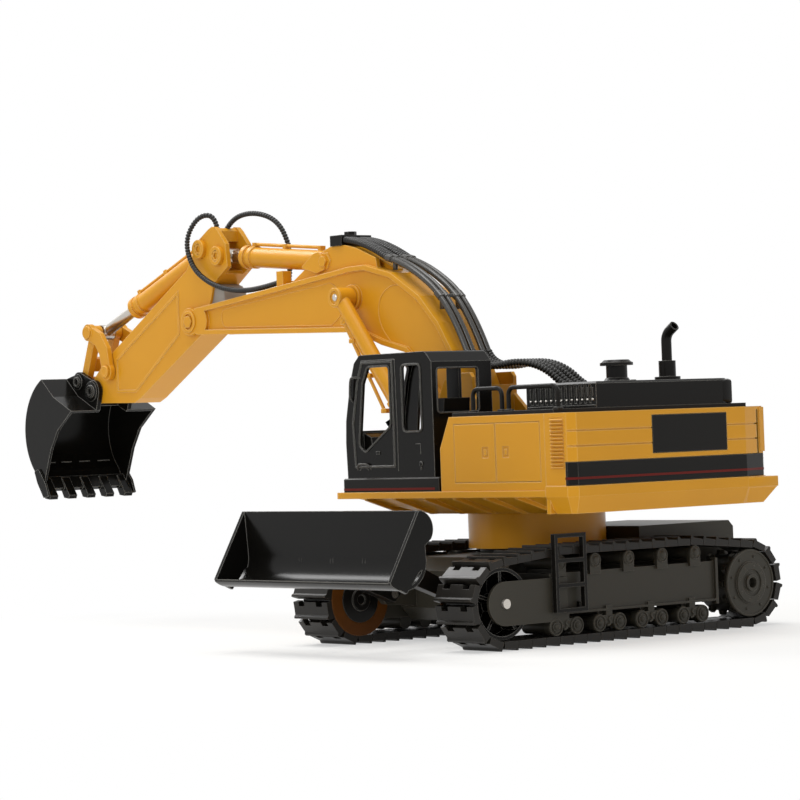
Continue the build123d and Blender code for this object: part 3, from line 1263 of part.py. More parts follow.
EAR_Y = (ARM_HALF + 0.7, ARM_HALF + 4.2)
SHEET_LIP = (499.4, 95.0)
with BuildPart() as bucket:
    with BuildSketch(side(BUCKET_X)) as shell:
        with BuildLine():
            Polyline(SHEET_LIP, (487.0, 125.1), (477.2, 139.7), (458.0, 153.7), (481.0, 164.8), (496.0, 178.2))
            ThreePointArc((496.0, 178.2), (518.8, 148.8), (507.8, 109.1))
            Line((507.8, 109.1), SHEET_LIP)
        make_face()
    extrude(amount=2 * BUCKET_X)
    with BuildSketch(side(BUCKET_X - BUCKET_T)):
        with BuildLine():
            Polyline((440.0, 142.6), (463.5, 153.9), (480.2, 161.9), (496.0, 175.0))
            ThreePointArc((496.0, 175.0), (516.5, 148.6), (505.9, 110.2))
            Polyline((505.9, 110.2), (490.0, 83.3), (440.0, 83.3), (440.0, 142.6))
        make_face()
    extrude(amount=2 * (BUCKET_X - BUCKET_T), mode=Mode.SUBTRACT)
    # teeth and the thickened cutting edge
    with BuildSketch(side(BUCKET_X)):
        Polygon((504.6, 103.8), SHEET_LIP, (496.0, 97.0), (501.2, 105.8), align=None)
    extrude(amount=2 * BUCKET_X)
    for i in range(TEETH):
        y = (i - (TEETH - 1) / 2) * (2 * BUCKET_X - 9) / (TEETH - 1)
        with BuildSketch(side(y + 3.5)):
            Polygon((504.4, 101.4), (500.0, 105.0), (490.4, 91.6), (491.6, 89.0), (497.6, 89.8), align=None)
        extrude(amount=7)
    # ears for the arm and the link
    for sign in (-1, 1):
        with BuildSketch(side(sign * EAR_Y[0])):
            Polygon((458.0, 153.7), (454.6, 165.0), (462.0, 176.0), (477.0, 182.0), (487.0, 180.0), (496.0, 178.0),
                    (481.0, 164.7), align=None)
            for pin, r in ((BUCKET_PIVOT, 8.4), (BUCKET_LINK, 7.4)):
                with Locations(pin):
                    Circle(r)
        extrude(amount=-sign * (EAR_Y[1] - EAR_Y[0]))
    # notch that clears the arm when the bucket is curled in
    with BuildSketch(side(EAR_Y[0])):
        Polygon((440.0, 140.0), (470.0, 154.0), (470.0, 166.0), (440.0, 166.0), align=None)
    extrude(amount=2 * EAR_Y[0], mode=Mode.SUBTRACT)
    for pin in (BUCKET_PIVOT, BUCKET_LINK):
        with BuildSketch(side(2 * EAR_Y[1])):
            with Locations(pin):
                Circle(PIN_R)
        extrude(amount=4 * EAR_Y[1], mode=Mode.SUBTRACT)
save(bucket.part, "bucket")

with BuildPart() as bucket_pins:
    for pin, inner in ((BUCKET_PIVOT, 0), (BUCKET_LINK, EAR_Y[0])):
        for sign in (-1, 1):
            with BuildSketch(side(sign * inner)):
                with Locations(pin):
                    Circle(PIN_R)
            extrude(amount=-sign * (EAR_Y[1] - inner))
            with BuildSketch(side(sign * EAR_Y[1])):
                with Locations(pin):
                    Circle(PIN_R + 1.4)
            extrude(amount=-sign * 1.6, taper=12)
save(bucket_pins.part, "bucket_pins")

# ================================================================ lines and hoses
LINE_YS = (-9.2, -4.2, 4.2, 9.2)
BRACKET_Y = 11.4      # half width of the lines' two brackets
LINE_ROUTE = ((124.0, 244.0), (104.0, 238.5), (66.0, 212.5), (50.0, 180.0))


def bend_radii(points: list) -> list:
    """Radius of each bend of a route: its tangents take 0.45 of the shorter of the two runs beside it."""
    radii = []
    for before, corner, after in zip(points, points[1:], points[2:]):
        into = Vector(*corner) - Vector(*before)
        out = Vector(*after) - Vector(*corner)
        half_turn = math.radians(into.get_angle(out)) / 2
        radii.append(0.45 * min(into.length, out.length) / math.tan(half_turn))
    return radii


def tube(points: list, radius: float) -> Part:
    """A round tube along straight runs joined by tangent arcs."""
    radii = bend_radii(points)
    print(f"tube of radius {radius}: bends", [round(r, 1) for r in radii])
    with BuildPart() as body:
        with BuildLine():
            route = FilletPolyline(*points, radius=radii)
        with BuildSketch(Plane(origin=route @ 0, z_dir=route % 0)):
            Circle(radius)
        sweep(path=route)
    print(f"volume {body.part.volume:.0f}, section times length {math.pi * radius ** 2 * route.length:.0f}")
    return body.part


line_tubes = [tube([(x, y, z) for x, z in LINE_ROUTE], LINE_R) for y in LINE_YS]
with BuildPart() as boom_lines:
    add(line_tubes)
    for foot, head, across in (((118.0, 235.0), (114.5, 242.0), 4.0), ((76.5, 206.0), (67.0, 214.0), 5.0)):
        reach, angle = along(foot, head)
        with BuildSketch(side(BRACKET_Y)):
            with Locations(((foot[0] + head[0]) / 2, (foot[1] + head[1]) / 2)):
                Rectangle(reach, across, rotation=angle)
        extrude(amount=2 * BRACKET_Y)
    add(boom.part, mode=Mode.SUBTRACT)
save(boom_lines.part, "boom_line_rails")

MANIFOLD_X = (168.0, 180.0)
MANIFOLD_TOP = 262.5
with BuildPart() as manifold:
    with BuildSketch(level(CHEEK_TOP_Z)):
        with Locations((sum(MANIFOLD_X) / 2, 0)):
            Rectangle(MANIFOLD_X[1] - MANIFOLD_X[0], 2 * (ARM_HALF + 1.5))
    extrude(amount=MANIFOLD_TOP - CHEEK_TOP_Z)
    with BuildSketch(level(MANIFOLD_TOP)):
        with Locations((sum(MANIFOLD_X) / 2, 0)):
            RegularPolygon(4.2, 6)
    extrude(amount=2.6)
save(manifold.part, "hose_manifold")

line_x, line_z = LINE_ROUTE[0]
hoses = [
    tube([(MANIFOLD_X[0] + 1, y, 259.2), (149.0, y, 257.4), (line_x, y, line_z)], HOSE_R)
    for y in LINE_YS
]
with BuildPart() as manifold_hoses:
    add(hoses)
    add([manifold.part, boom_lines.part], mode=Mode.SUBTRACT)
save(manifold_hoses.part, "manifold_hoses")

BASE_HOSE_Z = 167.0
HOOD_PORTS = (-40.5, -34.5, -28.5, -22.5)
rail_x, rail_z = LINE_ROUTE[-1]
hoses = [
    tube([(rail_x, y, rail_z), (41.5, y, BASE_HOSE_Z), (0.0, (y + port) / 2, BASE_HOSE_Z + 1),
          (-24.0, port, 149.0), (HOOD_X1 - 1, port, 148.4)], HOSE_R)
    for y, port in zip(LINE_YS, HOOD_PORTS)
]
with BuildPart() as base_hoses:
    add(hoses)
    add([boom_lines.part, hood.part], mode=Mode.SUBTRACT)
save(base_hoses.part, "base_hoses")

BLOCK = ((309.5, 268.0), (319.0, 268.0), (319.0, 274.4), (311.7, 277.6), (309.5, 275.6))
with BuildPart() as hose_block:
    with BuildSketch(side(ARM_HALF - ARM_WALL)):
        Polygon(*BLOCK, align=None)
    extrude(amount=2 * (ARM_HALF - ARM_WALL))
save(hose_block.part, "arm_hose_block")

NEAR_COLLAR = (235.0, 10.2, 236.4)
FAR_COLLAR = (256.5, -10.6, 231.0)
with BuildPart() as hose_clips:
    for middle in (NEAR_COLLAR, FAR_COLLAR):
        with Locations(middle):
            Box(7.0, 7.4, 12.0)
    add(boom.part, mode=Mode.SUBTRACT)
save(hose_clips.part, "boom_hose_clips")

hoses = [
    tube([(315.0, 4.9, 271.0), (316.0, 5.0, 292.5), (331.0, 11.0, 293.5), (341.0, 16.6, 273.0), (333.0, 17.0, 252.0),
          (312.0, 17.0, 239.5), (286.0, 16.0, 233.6), (262.0, 12.6, 233.6), NEAR_COLLAR], HOSE_R),
    tube([(313.6, -1.0, 271.0), (309.0, -2.0, 290.0), (283.0, -4.0, 293.5), (262.0, -8.0, 284.0), (253.5, -10.6, 262.0),
          (254.0, -10.6, 247.0), FAR_COLLAR], HOSE_R),
]
with BuildPart() as arm_hoses:
    add(hoses)
    add([hose_block.part, hose_clips.part], mode=Mode.SUBTRACT)
save(arm_hoses.part, "arm_hoses")
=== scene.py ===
"""Toy crawler excavator: finishes, hoses, trim and studio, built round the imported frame."""
import json
import logging
import math
from dataclasses import dataclass, field
from enum import Enum
from typing import Iterable, Iterator, Sequence

import bmesh
import bpy
from mathutils import Matrix, Vector


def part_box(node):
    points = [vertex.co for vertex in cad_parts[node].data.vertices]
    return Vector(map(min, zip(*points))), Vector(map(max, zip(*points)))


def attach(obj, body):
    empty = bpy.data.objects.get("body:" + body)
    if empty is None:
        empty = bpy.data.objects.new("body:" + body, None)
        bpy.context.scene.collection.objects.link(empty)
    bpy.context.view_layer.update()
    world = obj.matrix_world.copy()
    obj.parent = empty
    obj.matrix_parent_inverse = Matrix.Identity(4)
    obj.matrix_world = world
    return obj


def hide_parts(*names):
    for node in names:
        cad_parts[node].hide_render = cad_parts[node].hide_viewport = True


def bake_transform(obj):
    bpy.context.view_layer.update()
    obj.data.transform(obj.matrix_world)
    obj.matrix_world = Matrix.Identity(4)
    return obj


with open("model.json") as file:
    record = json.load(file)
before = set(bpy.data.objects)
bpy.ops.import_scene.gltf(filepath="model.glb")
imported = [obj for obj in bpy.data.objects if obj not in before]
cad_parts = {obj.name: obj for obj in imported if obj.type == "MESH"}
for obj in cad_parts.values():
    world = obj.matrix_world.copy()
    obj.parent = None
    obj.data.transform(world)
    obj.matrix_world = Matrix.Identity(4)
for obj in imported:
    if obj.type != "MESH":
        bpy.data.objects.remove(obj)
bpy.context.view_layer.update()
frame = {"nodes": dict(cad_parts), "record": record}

Point = Sequence[float]

MM = 0.001
SUNK = 0.3           # how deep added bosses reach into the face that they stand on
MERGED = 1e-4        # points nearer than this are one
SIDES = (-1, 1)
LOG = logging.getLogger("excavator")


class Slot(Enum):
    """Material slots of the record that pieces take their finish from."""
    YELLOW = "yellow_abs"
    GLOSS_BLACK = "gloss_black_abs"
    SATIN_BLACK = "satin_black_abs"
    CHARCOAL = "charcoal_abs"
    CHAIN = "track_pom"
    STEEL = "plated_steel"
    HOSE = "hose_rubber"
    GREY = "grey_abs"
    BOARD = "circuit_board"
    WRAP = "battery_wrap"


class Body(Enum):
    """Bodies of the frame that new pieces ride on."""
    UNDERCARRIAGE = "undercarriage"
    LEFT_SPROCKET = "sprocket_left"
    RIGHT_SPROCKET = "sprocket_right"
    HOUSE = "house"
    BOOM = "boom_assembly"
    BOOM_BARRELS = "boom_barrels"
    ARM_BARREL = "arm_barrel"
    ARM = "arm_assembly"
    BUCKET = "bucket_assembly"


class View(Enum):
    """How a flat outline lies in space: which two axes it is drawn in."""
    SIDE = "xz"
    CROSS = "yz"
    LEVEL = "xy"


# ---------------------------------------------------------------- small helpers
def linear(code: str) -> tuple[float, float, float, float]:
    """Linear colour of an sRGB hex value.

    Args:
        code: six hex digits, with or without a leading #.
    Returns:
        Red, green, blue and alpha for a shader socket.
    """
    values = [int(code.lstrip("#")[i:i + 2], 16) / 255 for i in (0, 2, 4)]
    return tuple(v / 12.92 if v <= 0.04045 else ((v + 0.055) / 1.055) ** 2.4 for v in values) + (1.0,)


def feed(made: bpy.types.Node, links: dict) -> None:
    """Feeds a node's inputs.

    Args:
        made: the node.
        links: input name or number to the output socket that feeds it, or to a plain value.
    """
    for key, value in links.items():
        if isinstance(value, bpy.types.NodeSocket):
            made.id_data.links.new(value, made.inputs[key])
        else:
            made.inputs[key].default_value = value


def node(tree: bpy.types.NodeTree, kind: str, links: dict | None = None,
         **settings: object) -> bpy.types.Node:
    """Adds a shader node.

    Args:
        tree: the node tree it goes into.
        kind: the node's type name without the ShaderNode prefix.
        links: what feeds its inputs, as for feed.
        settings: properties of the node itself.
    Returns:
        The new node.
    """
    made = tree.nodes.new("ShaderNode" + kind)
    for key, value in settings.items():
        setattr(made, key, value)
    feed(made, links or {})
    return made


def principled(name: str) -> tuple[bpy.types.Material, bpy.types.Node, bpy.types.NodeSocket]:
    """Starts a material on Object coordinates.

    Args:
        name: the material's name.
    Returns:
        The material, its Principled shader and the socket that gives the coordinates.
    """
    material = bpy.data.materials.new(name)
    material.use_nodes = True
    shader = material.node_tree.nodes["Principled BSDF"]
    return material, shader, node(material.node_tree, "TexCoord").outputs["Object"]


def noise(place: bpy.types.NodeSocket, size_mm: float, detail: float,
          **more: float) -> bpy.types.NodeSocket:
    """Noise in an object's own space.

    Args:
        place: the object's coordinates.
        size_mm: how wide its patches are.
        detail: how many finer layers lie over them.
        more: its other inputs.
    Returns:
        A socket that gives the noise.
    """
    values = {"Vector": place, "Scale": 1 / (size_mm * MM), "Detail": detail, **more}
    return node(place.id_data, "TexNoise", values).outputs["Fac"]


def mixed(share: bpy.types.NodeSocket, first: object, second: object) -> bpy.types.NodeSocket:
    """Mixes two colours.

    Args:
        share: how much of the second there is.
        first: the first colour, as a value or a socket.
        second: the second colour, in the same way.
    Returns:
        A socket that gives the mixed colour.
    """
    return node(share.id_data, "Mix", {"Factor": share, 6: first, 7: second}, data_type="RGBA").outputs[2]


def ranged(value: bpy.types.NodeSocket, low: float, high: float, start: float = 0.0,
           end: float = 1.0) -> bpy.types.NodeSocket:
    """Maps a value to a range, and keeps it within.

    Args:
        value: the value.
        low: the result at the start.
        high: the result at the end.
        start: the value that gives the low result.
        end: the value that gives the high result.
    Returns:
        A socket that gives the result.
    """
    values = {"Value": value, "From Min": start, "From Max": end, "To Min": low, "To Max": high}
    return node(value.id_data, "MapRange", values).outputs["Result"]


def seen_directly(tree: bpy.types.NodeTree) -> bpy.types.NodeSocket:
    """Tells what the eye sees, also mirrored or through glass, from light that falls on the object.

    Args:
        tree: the node tree it goes into.
    Returns:
        A socket that is 1 for camera, glossy and transmission rays, and 0 for all others.
    """
    path = node(tree, "LightPath")
    seen = node(tree, "Math", {0: path.outputs["Is Camera Ray"], 1: path.outputs["Is Glossy Ray"]},
                operation="MAXIMUM")
    seen = node(tree, "Math", {0: seen.outputs[0], 1: path.outputs["Is Transmission Ray"]},
                operation="MAXIMUM")
    return seen.outputs[0]


def spread(view: View, at: float, points: Iterable[Point]) -> list[Vector]:
    """Places a flat outline in space.

    Args:
        view: the plane that it is drawn in.
        at: where the plane lies on its own axis.
        points: the outline in that plane.
    Returns:
        The outline's points in space, in millimetres.
    """
    if view is View.SIDE:
        return [Vector((a, at, b)) for a, b in points]
    if view is View.CROSS:
        return [Vector((at, a, b)) for a, b in points]
    return [Vector((a, b, at)) for a, b in points]


def rounded(corners: Sequence[Point], radius: float, steps: int = 5) -> list[tuple[float, float]]:
    """Rounds the corners of a flat closed outline.

    Args:
        corners: the outline's corners.
        radius: radius of each corner, less where a side is short.
        steps: points along each corner.
    Returns:
        The rounded outline's points.
    """
    made = []
    count = len(corners)
    for i, corner in enumerate(corners):
        here = Vector(corner)
        back = Vector(corners[i - 1]) - here
        ahead = Vector(corners[(i + 1) % count]) - here
        half = back.angle(ahead) / 2
        reach = min(radius / math.tan(half), 0.48 * back.length, 0.48 * ahead.length)
        start = here + back.normalized() * reach
        end = here + ahead.normalized() * reach
        for k in range(steps + 1):
            t = k / steps
            made.append(tuple((1 - t) ** 2 * start + 2 * t * (1 - t) * here + t * t * end))
    return made


def new_spline(route: Sequence[Point], kind: str) -> tuple[bpy.types.Curve, bpy.types.Spline]:
    """Starts a curve with one spline.

    Args:
        route: the spline's points.
        kind: POLY or NURBS.
    Returns:
        The curve and its spline.
    """
    curve = bpy.data.curves.new("route", "CURVE")
    curve.dimensions = "3D"
    spline = curve.splines.new(kind)
    spline.points.add(len(route) - 1)
    for spot, point in zip(spline.points, route):
        spot.co = (*point, 1.0)
    return curve, spline


def mesh_of(curve: bpy.types.Curve) -> bpy.types.Mesh:
    """Turns a curve into a mesh and removes the curve.

    Args:
        curve: the curve.
    Returns:
        Its mesh, which the caller removes.
    """
    holder = bpy.data.objects.new("route", curve)
    mesh = bpy.data.meshes.new_from_object(holder)
    bpy.data.objects.remove(holder)
    bpy.data.curves.remove(curve)
    return mesh


def spline_line(route: Sequence[Point]) -> list[Vector]:
    """Points along the smooth spline of a route.

    Args:
        route: its control points.
    Returns:
        The points, in the route's own unit.
    """
    curve, spline = new_spline(route, "NURBS")
    curve.resolution_u = 24
    spline.order_u = 3
    spline.use_endpoint_u = True
    mesh = mesh_of(curve)
    points = [v.co.copy() for v in mesh.vertices]
    bpy.data.meshes.remove(mesh)
    return points


# ---------------------------------------------------------------- finishes
@dataclass(frozen=True)
class MouldedPlastic:
    """Injection-moulded plastic: its pigment drifts a little, and it has a fine grain and soft edges, with a
    paler colour painted along them as a highlight.
    """
    name: str
    colour: str
    shade: str
    # colour mixed in along the edges: a painted highlight
    edge_highlight: str
    roughness: float
    specular: float = 0.5
    ior: float = 1.53
    drift_mm: float = 55.0
    grain_mm: float = 1.4
    grain_depth_mm: float = 0.010
    edge_mm: float = 0.45
    # how much of that painted highlight colour an edge takes
    edge_highlight_share: float = 0.55
    flat_cosine: float = 0.995    # how straight a spot looks ahead that is no edge
    edge_cosine: float = 0.86     # and one that is all edge
    scuff: float = 0.06
    scuff_mm: float = 9.0

    def build(self) -> bpy.types.Material:
        """Makes the material.

        Returns:
            A Principled material on Object coordinates.
        """
        material, shader, place = principled(self.name)
        tree = material.node_tree
        pigment = mixed(noise(place, self.drift_mm, 3.0), linear(self.colour), linear(self.shade))
        soft = node(tree, "Bevel", {"Radius": self.edge_mm * MM}, samples=4).outputs["Normal"]
        flat = node(tree, "NewGeometry").outputs["Normal"]
        facing = node(tree, "VectorMath", {0: soft, 1: flat}, operation="DOT_PRODUCT").outputs["Value"]
        # edge mask where the rounded normal turns away from the flat one: there the painted highlight colour
        # is mixed in
        edge = ranged(facing, 0.0, self.edge_highlight_share, self.flat_cosine, self.edge_cosine)
        rub = noise(place, self.scuff_mm, 6.0, Roughness=0.7)
        bump = node(tree, "Bump", {"Height": noise(place, self.grain_mm, 2.0), "Normal": soft,
                                   "Distance": self.grain_depth_mm * MM, "Strength": 1.0})
        feed(shader, {"Base Color": mixed(edge, pigment, linear(self.edge_highlight)),
                      "Roughness": ranged(rub, self.roughness, self.roughness + self.scuff, 0.3, 0.75),
                      "Normal": bump.outputs["Normal"], "IOR": self.ior, "Specular IOR Level": self.specular})
        return material


@dataclass(frozen=True)
class PlatedSteel:
    """Drawn steel rod and screws with bright nickel plating: fine lines in the stock, a cool pale sheen."""
    name: str
    colour: str
    shade: str
    roughness: float
    tint_mm: float = 12.0
    line_mm: float = 0.5
    line_depth_mm: float = 0.006
    dulling: float = 0.12

    def build(self) -> bpy.types.Material:
        """Makes the material.

        Returns:
            A metallic Principled material on Object coordinates.
        """
        material, shader, place = principled(self.name)
        tint, rub = noise(place, self.tint_mm, 4.0), noise(place, self.line_mm, 3.0)
        bump = node(material.node_tree, "Bump", {"Height": rub, "Distance": self.line_depth_mm * MM,
                                                 "Strength": 0.6})
        feed(shader, {"Base Color": mixed(tint, linear(self.colour), linear(self.shade)),
                      "Roughness": ranged(rub, self.roughness, self.roughness + self.dulling),
                      "Normal": bump.outputs["Normal"], "Metallic": 1.0})
        return material


@dataclass(frozen=True)
class CoatedSheet:
    """Printed or lacquered skin: one colour with a little unevenness, such as a stripe, a board or a film."""
    name: str
    colour: str
    shade: str
    roughness: float
    specular: float = 0.12
    speck_mm: float = 3.0
    speck_depth_mm: float = 0.01
    dulling: float = 0.1

    def build(self) -> bpy.types.Material:
        """Makes the material.

        Returns:
            A Principled material on Object coordinates.
        """
        material, shader, place = principled(self.name)
        speck = noise(place, self.speck_mm, 5.0)
        bump = node(material.node_tree, "Bump", {"Height": speck, "Distance": self.speck_depth_mm * MM,
                                                 "Strength": 0.4})
        feed(shader, {"Base Color": mixed(speck, linear(self.colour), linear(self.shade)),
                      "Roughness": ranged(speck, self.roughness, self.roughness + self.dulling),
                      "Normal": bump.outputs["Normal"], "Specular IOR Level": self.specular})
        return material


# ABS moulded in a deep yellow: an even satin skin, with a paler line painted along its edges as a highlight.
YELLOW_ABS = MouldedPlastic("moulded_yellow_abs", "#d9991f", "#d1911c", "#f8cd7c", roughness=0.3,
                            specular=0.22, edge_mm=0.9, edge_highlight_share=0.75)
# Yellow ABS darkened to brown, a painted shade for parts that lie deep in the shade, with a paler painted
# highlight along its edges.
YELLOW_ABS_PAINTED_SHADE = MouldedPlastic("yellow_abs_painted_shade", "#5f360b", "#573009", "#8a5a20", roughness=0.36,
                           specular=0.15)
# ABS moulded in black in a polished tool: dark and smooth, with a grey line painted along its edges as a
# highlight.
GLOSS_BLACK_ABS = MouldedPlastic("polished_black_abs", "#0e0d0b", "#12110f", "#a09e98", roughness=0.16,
                                 specular=0.12, grain_depth_mm=0.004, edge_mm=0.8, edge_highlight_share=0.75)
# The same black from a satin tool: softer highlights, and a grey painted highlight along its edges.
SATIN_BLACK_ABS = MouldedPlastic("satin_black_abs", "#100f0d", "#161411", "#8b8881", roughness=0.28,
                                 specular=0.12, edge_mm=0.6)
# Grey-black ABS with a mat, slightly metallic look, and a paler painted highlight along its edges.
CHARCOAL_ABS = MouldedPlastic("charcoal_abs", "#35322b", "#3b3830", "#7d786e", roughness=0.4, specular=0.2,
                              grain_depth_mm=0.016)
# Acetal shoes: a waxy dark grey with a coarser skin, and a paler painted highlight along its edges.
CHAIN_ACETAL = MouldedPlastic("moulded_acetal", "#1d1b18", "#272420", "#77726a", roughness=0.34, specular=0.2,
                              drift_mm=18.0, grain_mm=1.0, grain_depth_mm=0.02, edge_mm=0.3)
# Grey ABS of the gear covers: plain and mat, with a paler painted highlight along its edges.
GREY_ABS = MouldedPlastic("grey_abs", "#8d8880", "#97928a", "#b9b4ac", roughness=0.42)
# Ribbed hose moulded in soft rubber: dark, with pale painted highlights on the crests of its ribs.
HOSE_RUBBER = MouldedPlastic("ribbed_rubber", "#151411", "#1d1c19", "#a9a7a0", roughness=0.32, specular=0.35,
                             drift_mm=10.0, edge_mm=0.3, grain_mm=0.6, edge_highlight_share=0.7)
# Rigid lines moulded in dark grey ABS, with a bright streak along each, and a paler painted highlight along
# their edges.
LINE_ABS = MouldedPlastic("dark_grey_abs", "#2c2a26", "#35332e", "#8a857c", roughness=0.24)
# Steel with bright nickel plating: it mirrors the white room.
PLATED_STEEL = PlatedSteel("nickel_plated_steel", "#cfcac3", "#b9b4ac", roughness=0.22)
# Dark red ink, printed as a thin line on the black bands.
RED_PRINT = CoatedSheet("printed_red_ink", "#5c1712", "#691c15", roughness=0.4)
# Lacquered glass-fibre board: green with a thin gloss.
BOARD_LACQUER = CoatedSheet("lacquered_board", "#1d5a2c", "#25683a", roughness=0.3)
# Shrink wrap over the cells: a smooth blue film.
WRAP_FILM = CoatedSheet("shrink_wrap_film", "#1f4a8c", "#255399", roughness=0.25)

FINISH_OF_SLOT = {
    Slot.YELLOW: YELLOW_ABS, Slot.GLOSS_BLACK: GLOSS_BLACK_ABS, Slot.SATIN_BLACK: SATIN_BLACK_ABS,
    Slot.CHARCOAL: CHARCOAL_ABS, Slot.CHAIN: CHAIN_ACETAL, Slot.STEEL: PLATED_STEEL, Slot.HOSE: HOSE_RUBBER,
    Slot.GREY: GREY_ABS, Slot.BOARD: BOARD_LACQUER, Slot.WRAP: WRAP_FILM,
}
# Solids whose finish differs from their slot's usual one.
FINISH_OF_NODE = {
    "arm_hose_block": YELLOW_ABS, "boom_hose_clips": YELLOW_ABS,
    "left_sprocket": CHARCOAL_ABS, "right_sprocket": CHARCOAL_ABS,
}


@dataclass
class PaintShop:
    """Builds each finish once and hands it out."""
    made: dict = field(default_factory=dict)

    def get(self, finish: MouldedPlastic | PlatedSteel | CoatedSheet) -> bpy.types.Material:
        """Finds the material of a finish, which is built at its first use.

        Args:
            finish: the finish.
        Returns:
            Its material.
        """
        if finish.name not in self.made:
            self.made[finish.name] = finish.build()
        return self.made[finish.name]

    def dress_frame(self) -> None:
        """Gives every solid of the frame its own finish or that of its slot in the record."""
        slots = {row["node"]: Slot(row["material_slot"]) for row in frame["record"]["subparts"]}
        for name, obj in frame["nodes"].items():
            finish = FINISH_OF_NODE.get(name, FINISH_OF_SLOT[slots[name]])
            obj.data.materials.clear()
            obj.data.materials.append(self.get(finish))
            LOG.info("%s: %s", name, finish.name)


SHOP = PaintShop()


# ---------------------------------------------------------------- mesh making
class Shape:
    """A mesh under construction, in millimetres of the row frame."""

    def __init__(self) -> None:
        """Starts an empty mesh."""
        self.bm = bmesh.new()

    def prism(self, view: View, at: float, outline: Iterable[Point], depth: float) -> list:
        """Adds a straight prism on a flat outline.

        Args:
            view: the plane of the outline.
            at: where that plane lies.
            outline: its corners.
            depth: how far it goes along the plane's own axis.
        Returns:
            The prism's faces.
        """
        along = {View.SIDE: (0, depth, 0), View.CROSS: (depth, 0, 0), View.LEVEL: (0, 0, depth)}[view]
        face = self.bm.faces.new([self.bm.verts.new(p) for p in spread(view, at, outline)])
        grown = bmesh.ops.extrude_face_region(self.bm, geom=[face])["geom"]
        moved = [g for g in grown if isinstance(g, bmesh.types.BMVert)]
        bmesh.ops.translate(self.bm, verts=moved, vec=along)
        made = {f for v in moved for f in v.link_faces} | {face}
        bmesh.ops.recalc_face_normals(self.bm, faces=list(made))
        return list(made)

    def tapered(self, low: Sequence[Point], high: Sequence[Point]) -> None:
        """Adds a closed block between two faces with as many corners.

        Args:
            low: corners of its lower face in space.
            high: corners of its upper face in space.
        """
        ends = [self.bm.faces.new([self.bm.verts.new(p) for p in corners]) for corners in (low, high)]
        bmesh.ops.bridge_loops(self.bm, edges=[edge for end in ends for edge in end.edges])

    def block(self, low: Point, high: Point, edge: float = 0.0, at: Point = (0, 0, 0)) -> None:
        """Adds a box between two corners.

        Args:
            low: its lowest corner.
            high: its highest corner.
            edge: width of its bevelled edges.
            at: the point that both corners are measured from.
        """
        low, high = ([a + b for a, b in zip(corner, at)] for corner in (low, high))
        size = Vector(high) - Vector(low)
        middle = (Vector(high) + Vector(low)) / 2
        place = Matrix.Translation(middle) @ Matrix.Diagonal((*size, 1.0))
        made = bmesh.ops.create_cube(self.bm, size=1.0, matrix=place)["verts"]
        if edge:
            self.soften(list({e for v in made for e in v.link_edges}), edge)

    def soften(self, edges: list, width: float) -> None:
        """Bevels edges.

        Args:
            edges: the edges.
            width: how wide the bevel is.
        """
        bmesh.ops.bevel(self.bm, geom=edges, offset=width, affect="EDGES", segments=2, profile=0.5,
                        material=-1)

    def spun(self, profile: Sequence[Point], base: Point, axis: Point, sides: int = 32) -> None:
        """Turns a profile round an axis.

        Args:
            profile: (radius, height) pairs; a radius of 0 closes the form on its axis.
            base: the point of height 0.
            axis: the direction of growing height.
            sides: how many steps a full turn has.
        """
        up = Vector(axis).normalized()
        place = Matrix.Translation(base) @ Vector((0, 0, 1)).rotation_difference(up).to_matrix().to_4x4()
        points = [self.bm.verts.new(place @ Vector((radius, 0, height))) for radius, height in profile]
        edges = [self.bm.edges.new(pair) for pair in zip(points, points[1:])]
        bmesh.ops.spin(self.bm, geom=points + edges, cent=base, axis=up, angle=2 * math.pi, steps=sides,
                       use_merge=True, use_duplicate=False)
        bmesh.ops.remove_doubles(self.bm, verts=self.bm.verts, dist=MERGED)

    def stud(self, base: Point, axis: Point, radius: float, height: float, dome: float = 0.0,
             sides: int = 28) -> None:
        """Adds a round boss with a softened edge that stands on a face.

        Args:
            base: its centre on the face.
            axis: the direction it stands in.
            radius: its radius.
            height: how high its edge stands.
            dome: how much higher its middle is.
            sides: how many steps a full turn has.
        """
        soft = min(0.4, 0.25 * radius, 0.5 * height)    # less where the boss is slim or low
        profile = [(0.0, -SUNK), (radius, -SUNK), (radius, height - soft),
                   (radius - 0.3 * soft, height - 0.3 * soft), (radius - soft, height)]
        if dome:
            for turn in (math.pi / 8, math.pi / 4, 3 * math.pi / 8):
                profile.append(((radius - soft) * math.cos(turn), height + dome * math.sin(turn)))
        profile.append((0.0, height + dome))
        self.spun(profile, base, axis, sides)

    def ring(self, base: Point, axis: Point, inner: float, outer: float, height: float,
             sides: int = 36) -> None:
        """Adds a raised ring with softened edges that stands on a face.

        Args:
            base: its centre on the face.
            axis: the direction it stands in.
            inner: radius of its opening.
            outer: its outer radius.
            height: how high it stands.
            sides: how many steps a full turn has.
        """
        soft = min(0.35, 0.3 * (outer - inner), 0.5 * height)    # less where the ring is slim or low
        self.spun([(inner, -SUNK), (outer, -SUNK), (outer, height - soft), (outer - soft, height),
                   (inner + soft, height), (inner, height - soft), (inner, -SUNK)], base, axis, sides)

    def outline(self, view: View, at: float, corners: Sequence[Point], corner_radius: float,
                radius: float) -> None:
        """Adds a round ridge along a closed flat outline.

        Args:
            view: the plane of the outline.
            at: where that plane lies.
            corners: its corners.
            corner_radius: how round the corners are.
            radius: the ridge's radius.
        """
        self.bead(spread(view, at, rounded(corners, corner_radius)), radius, closed=True)

    def bead(self, points: Sequence[Point], radius: float, closed: bool = False, sides: int = 2) -> None:
        """Adds a round bar along a line.

        Args:
            points: the line in space.
            radius: the bar's radius.
            closed: whether it joins up with its start.
            sides: roundness of its section.
        """
        curve, spline = new_spline(points, "POLY")
        spline.use_cyclic_u = closed
        curve.bevel_depth = radius
        curve.bevel_resolution = sides
        curve.use_fill_caps = not closed
        mesh = mesh_of(curve)
        self.bm.from_mesh(mesh)
        bpy.data.meshes.remove(mesh)

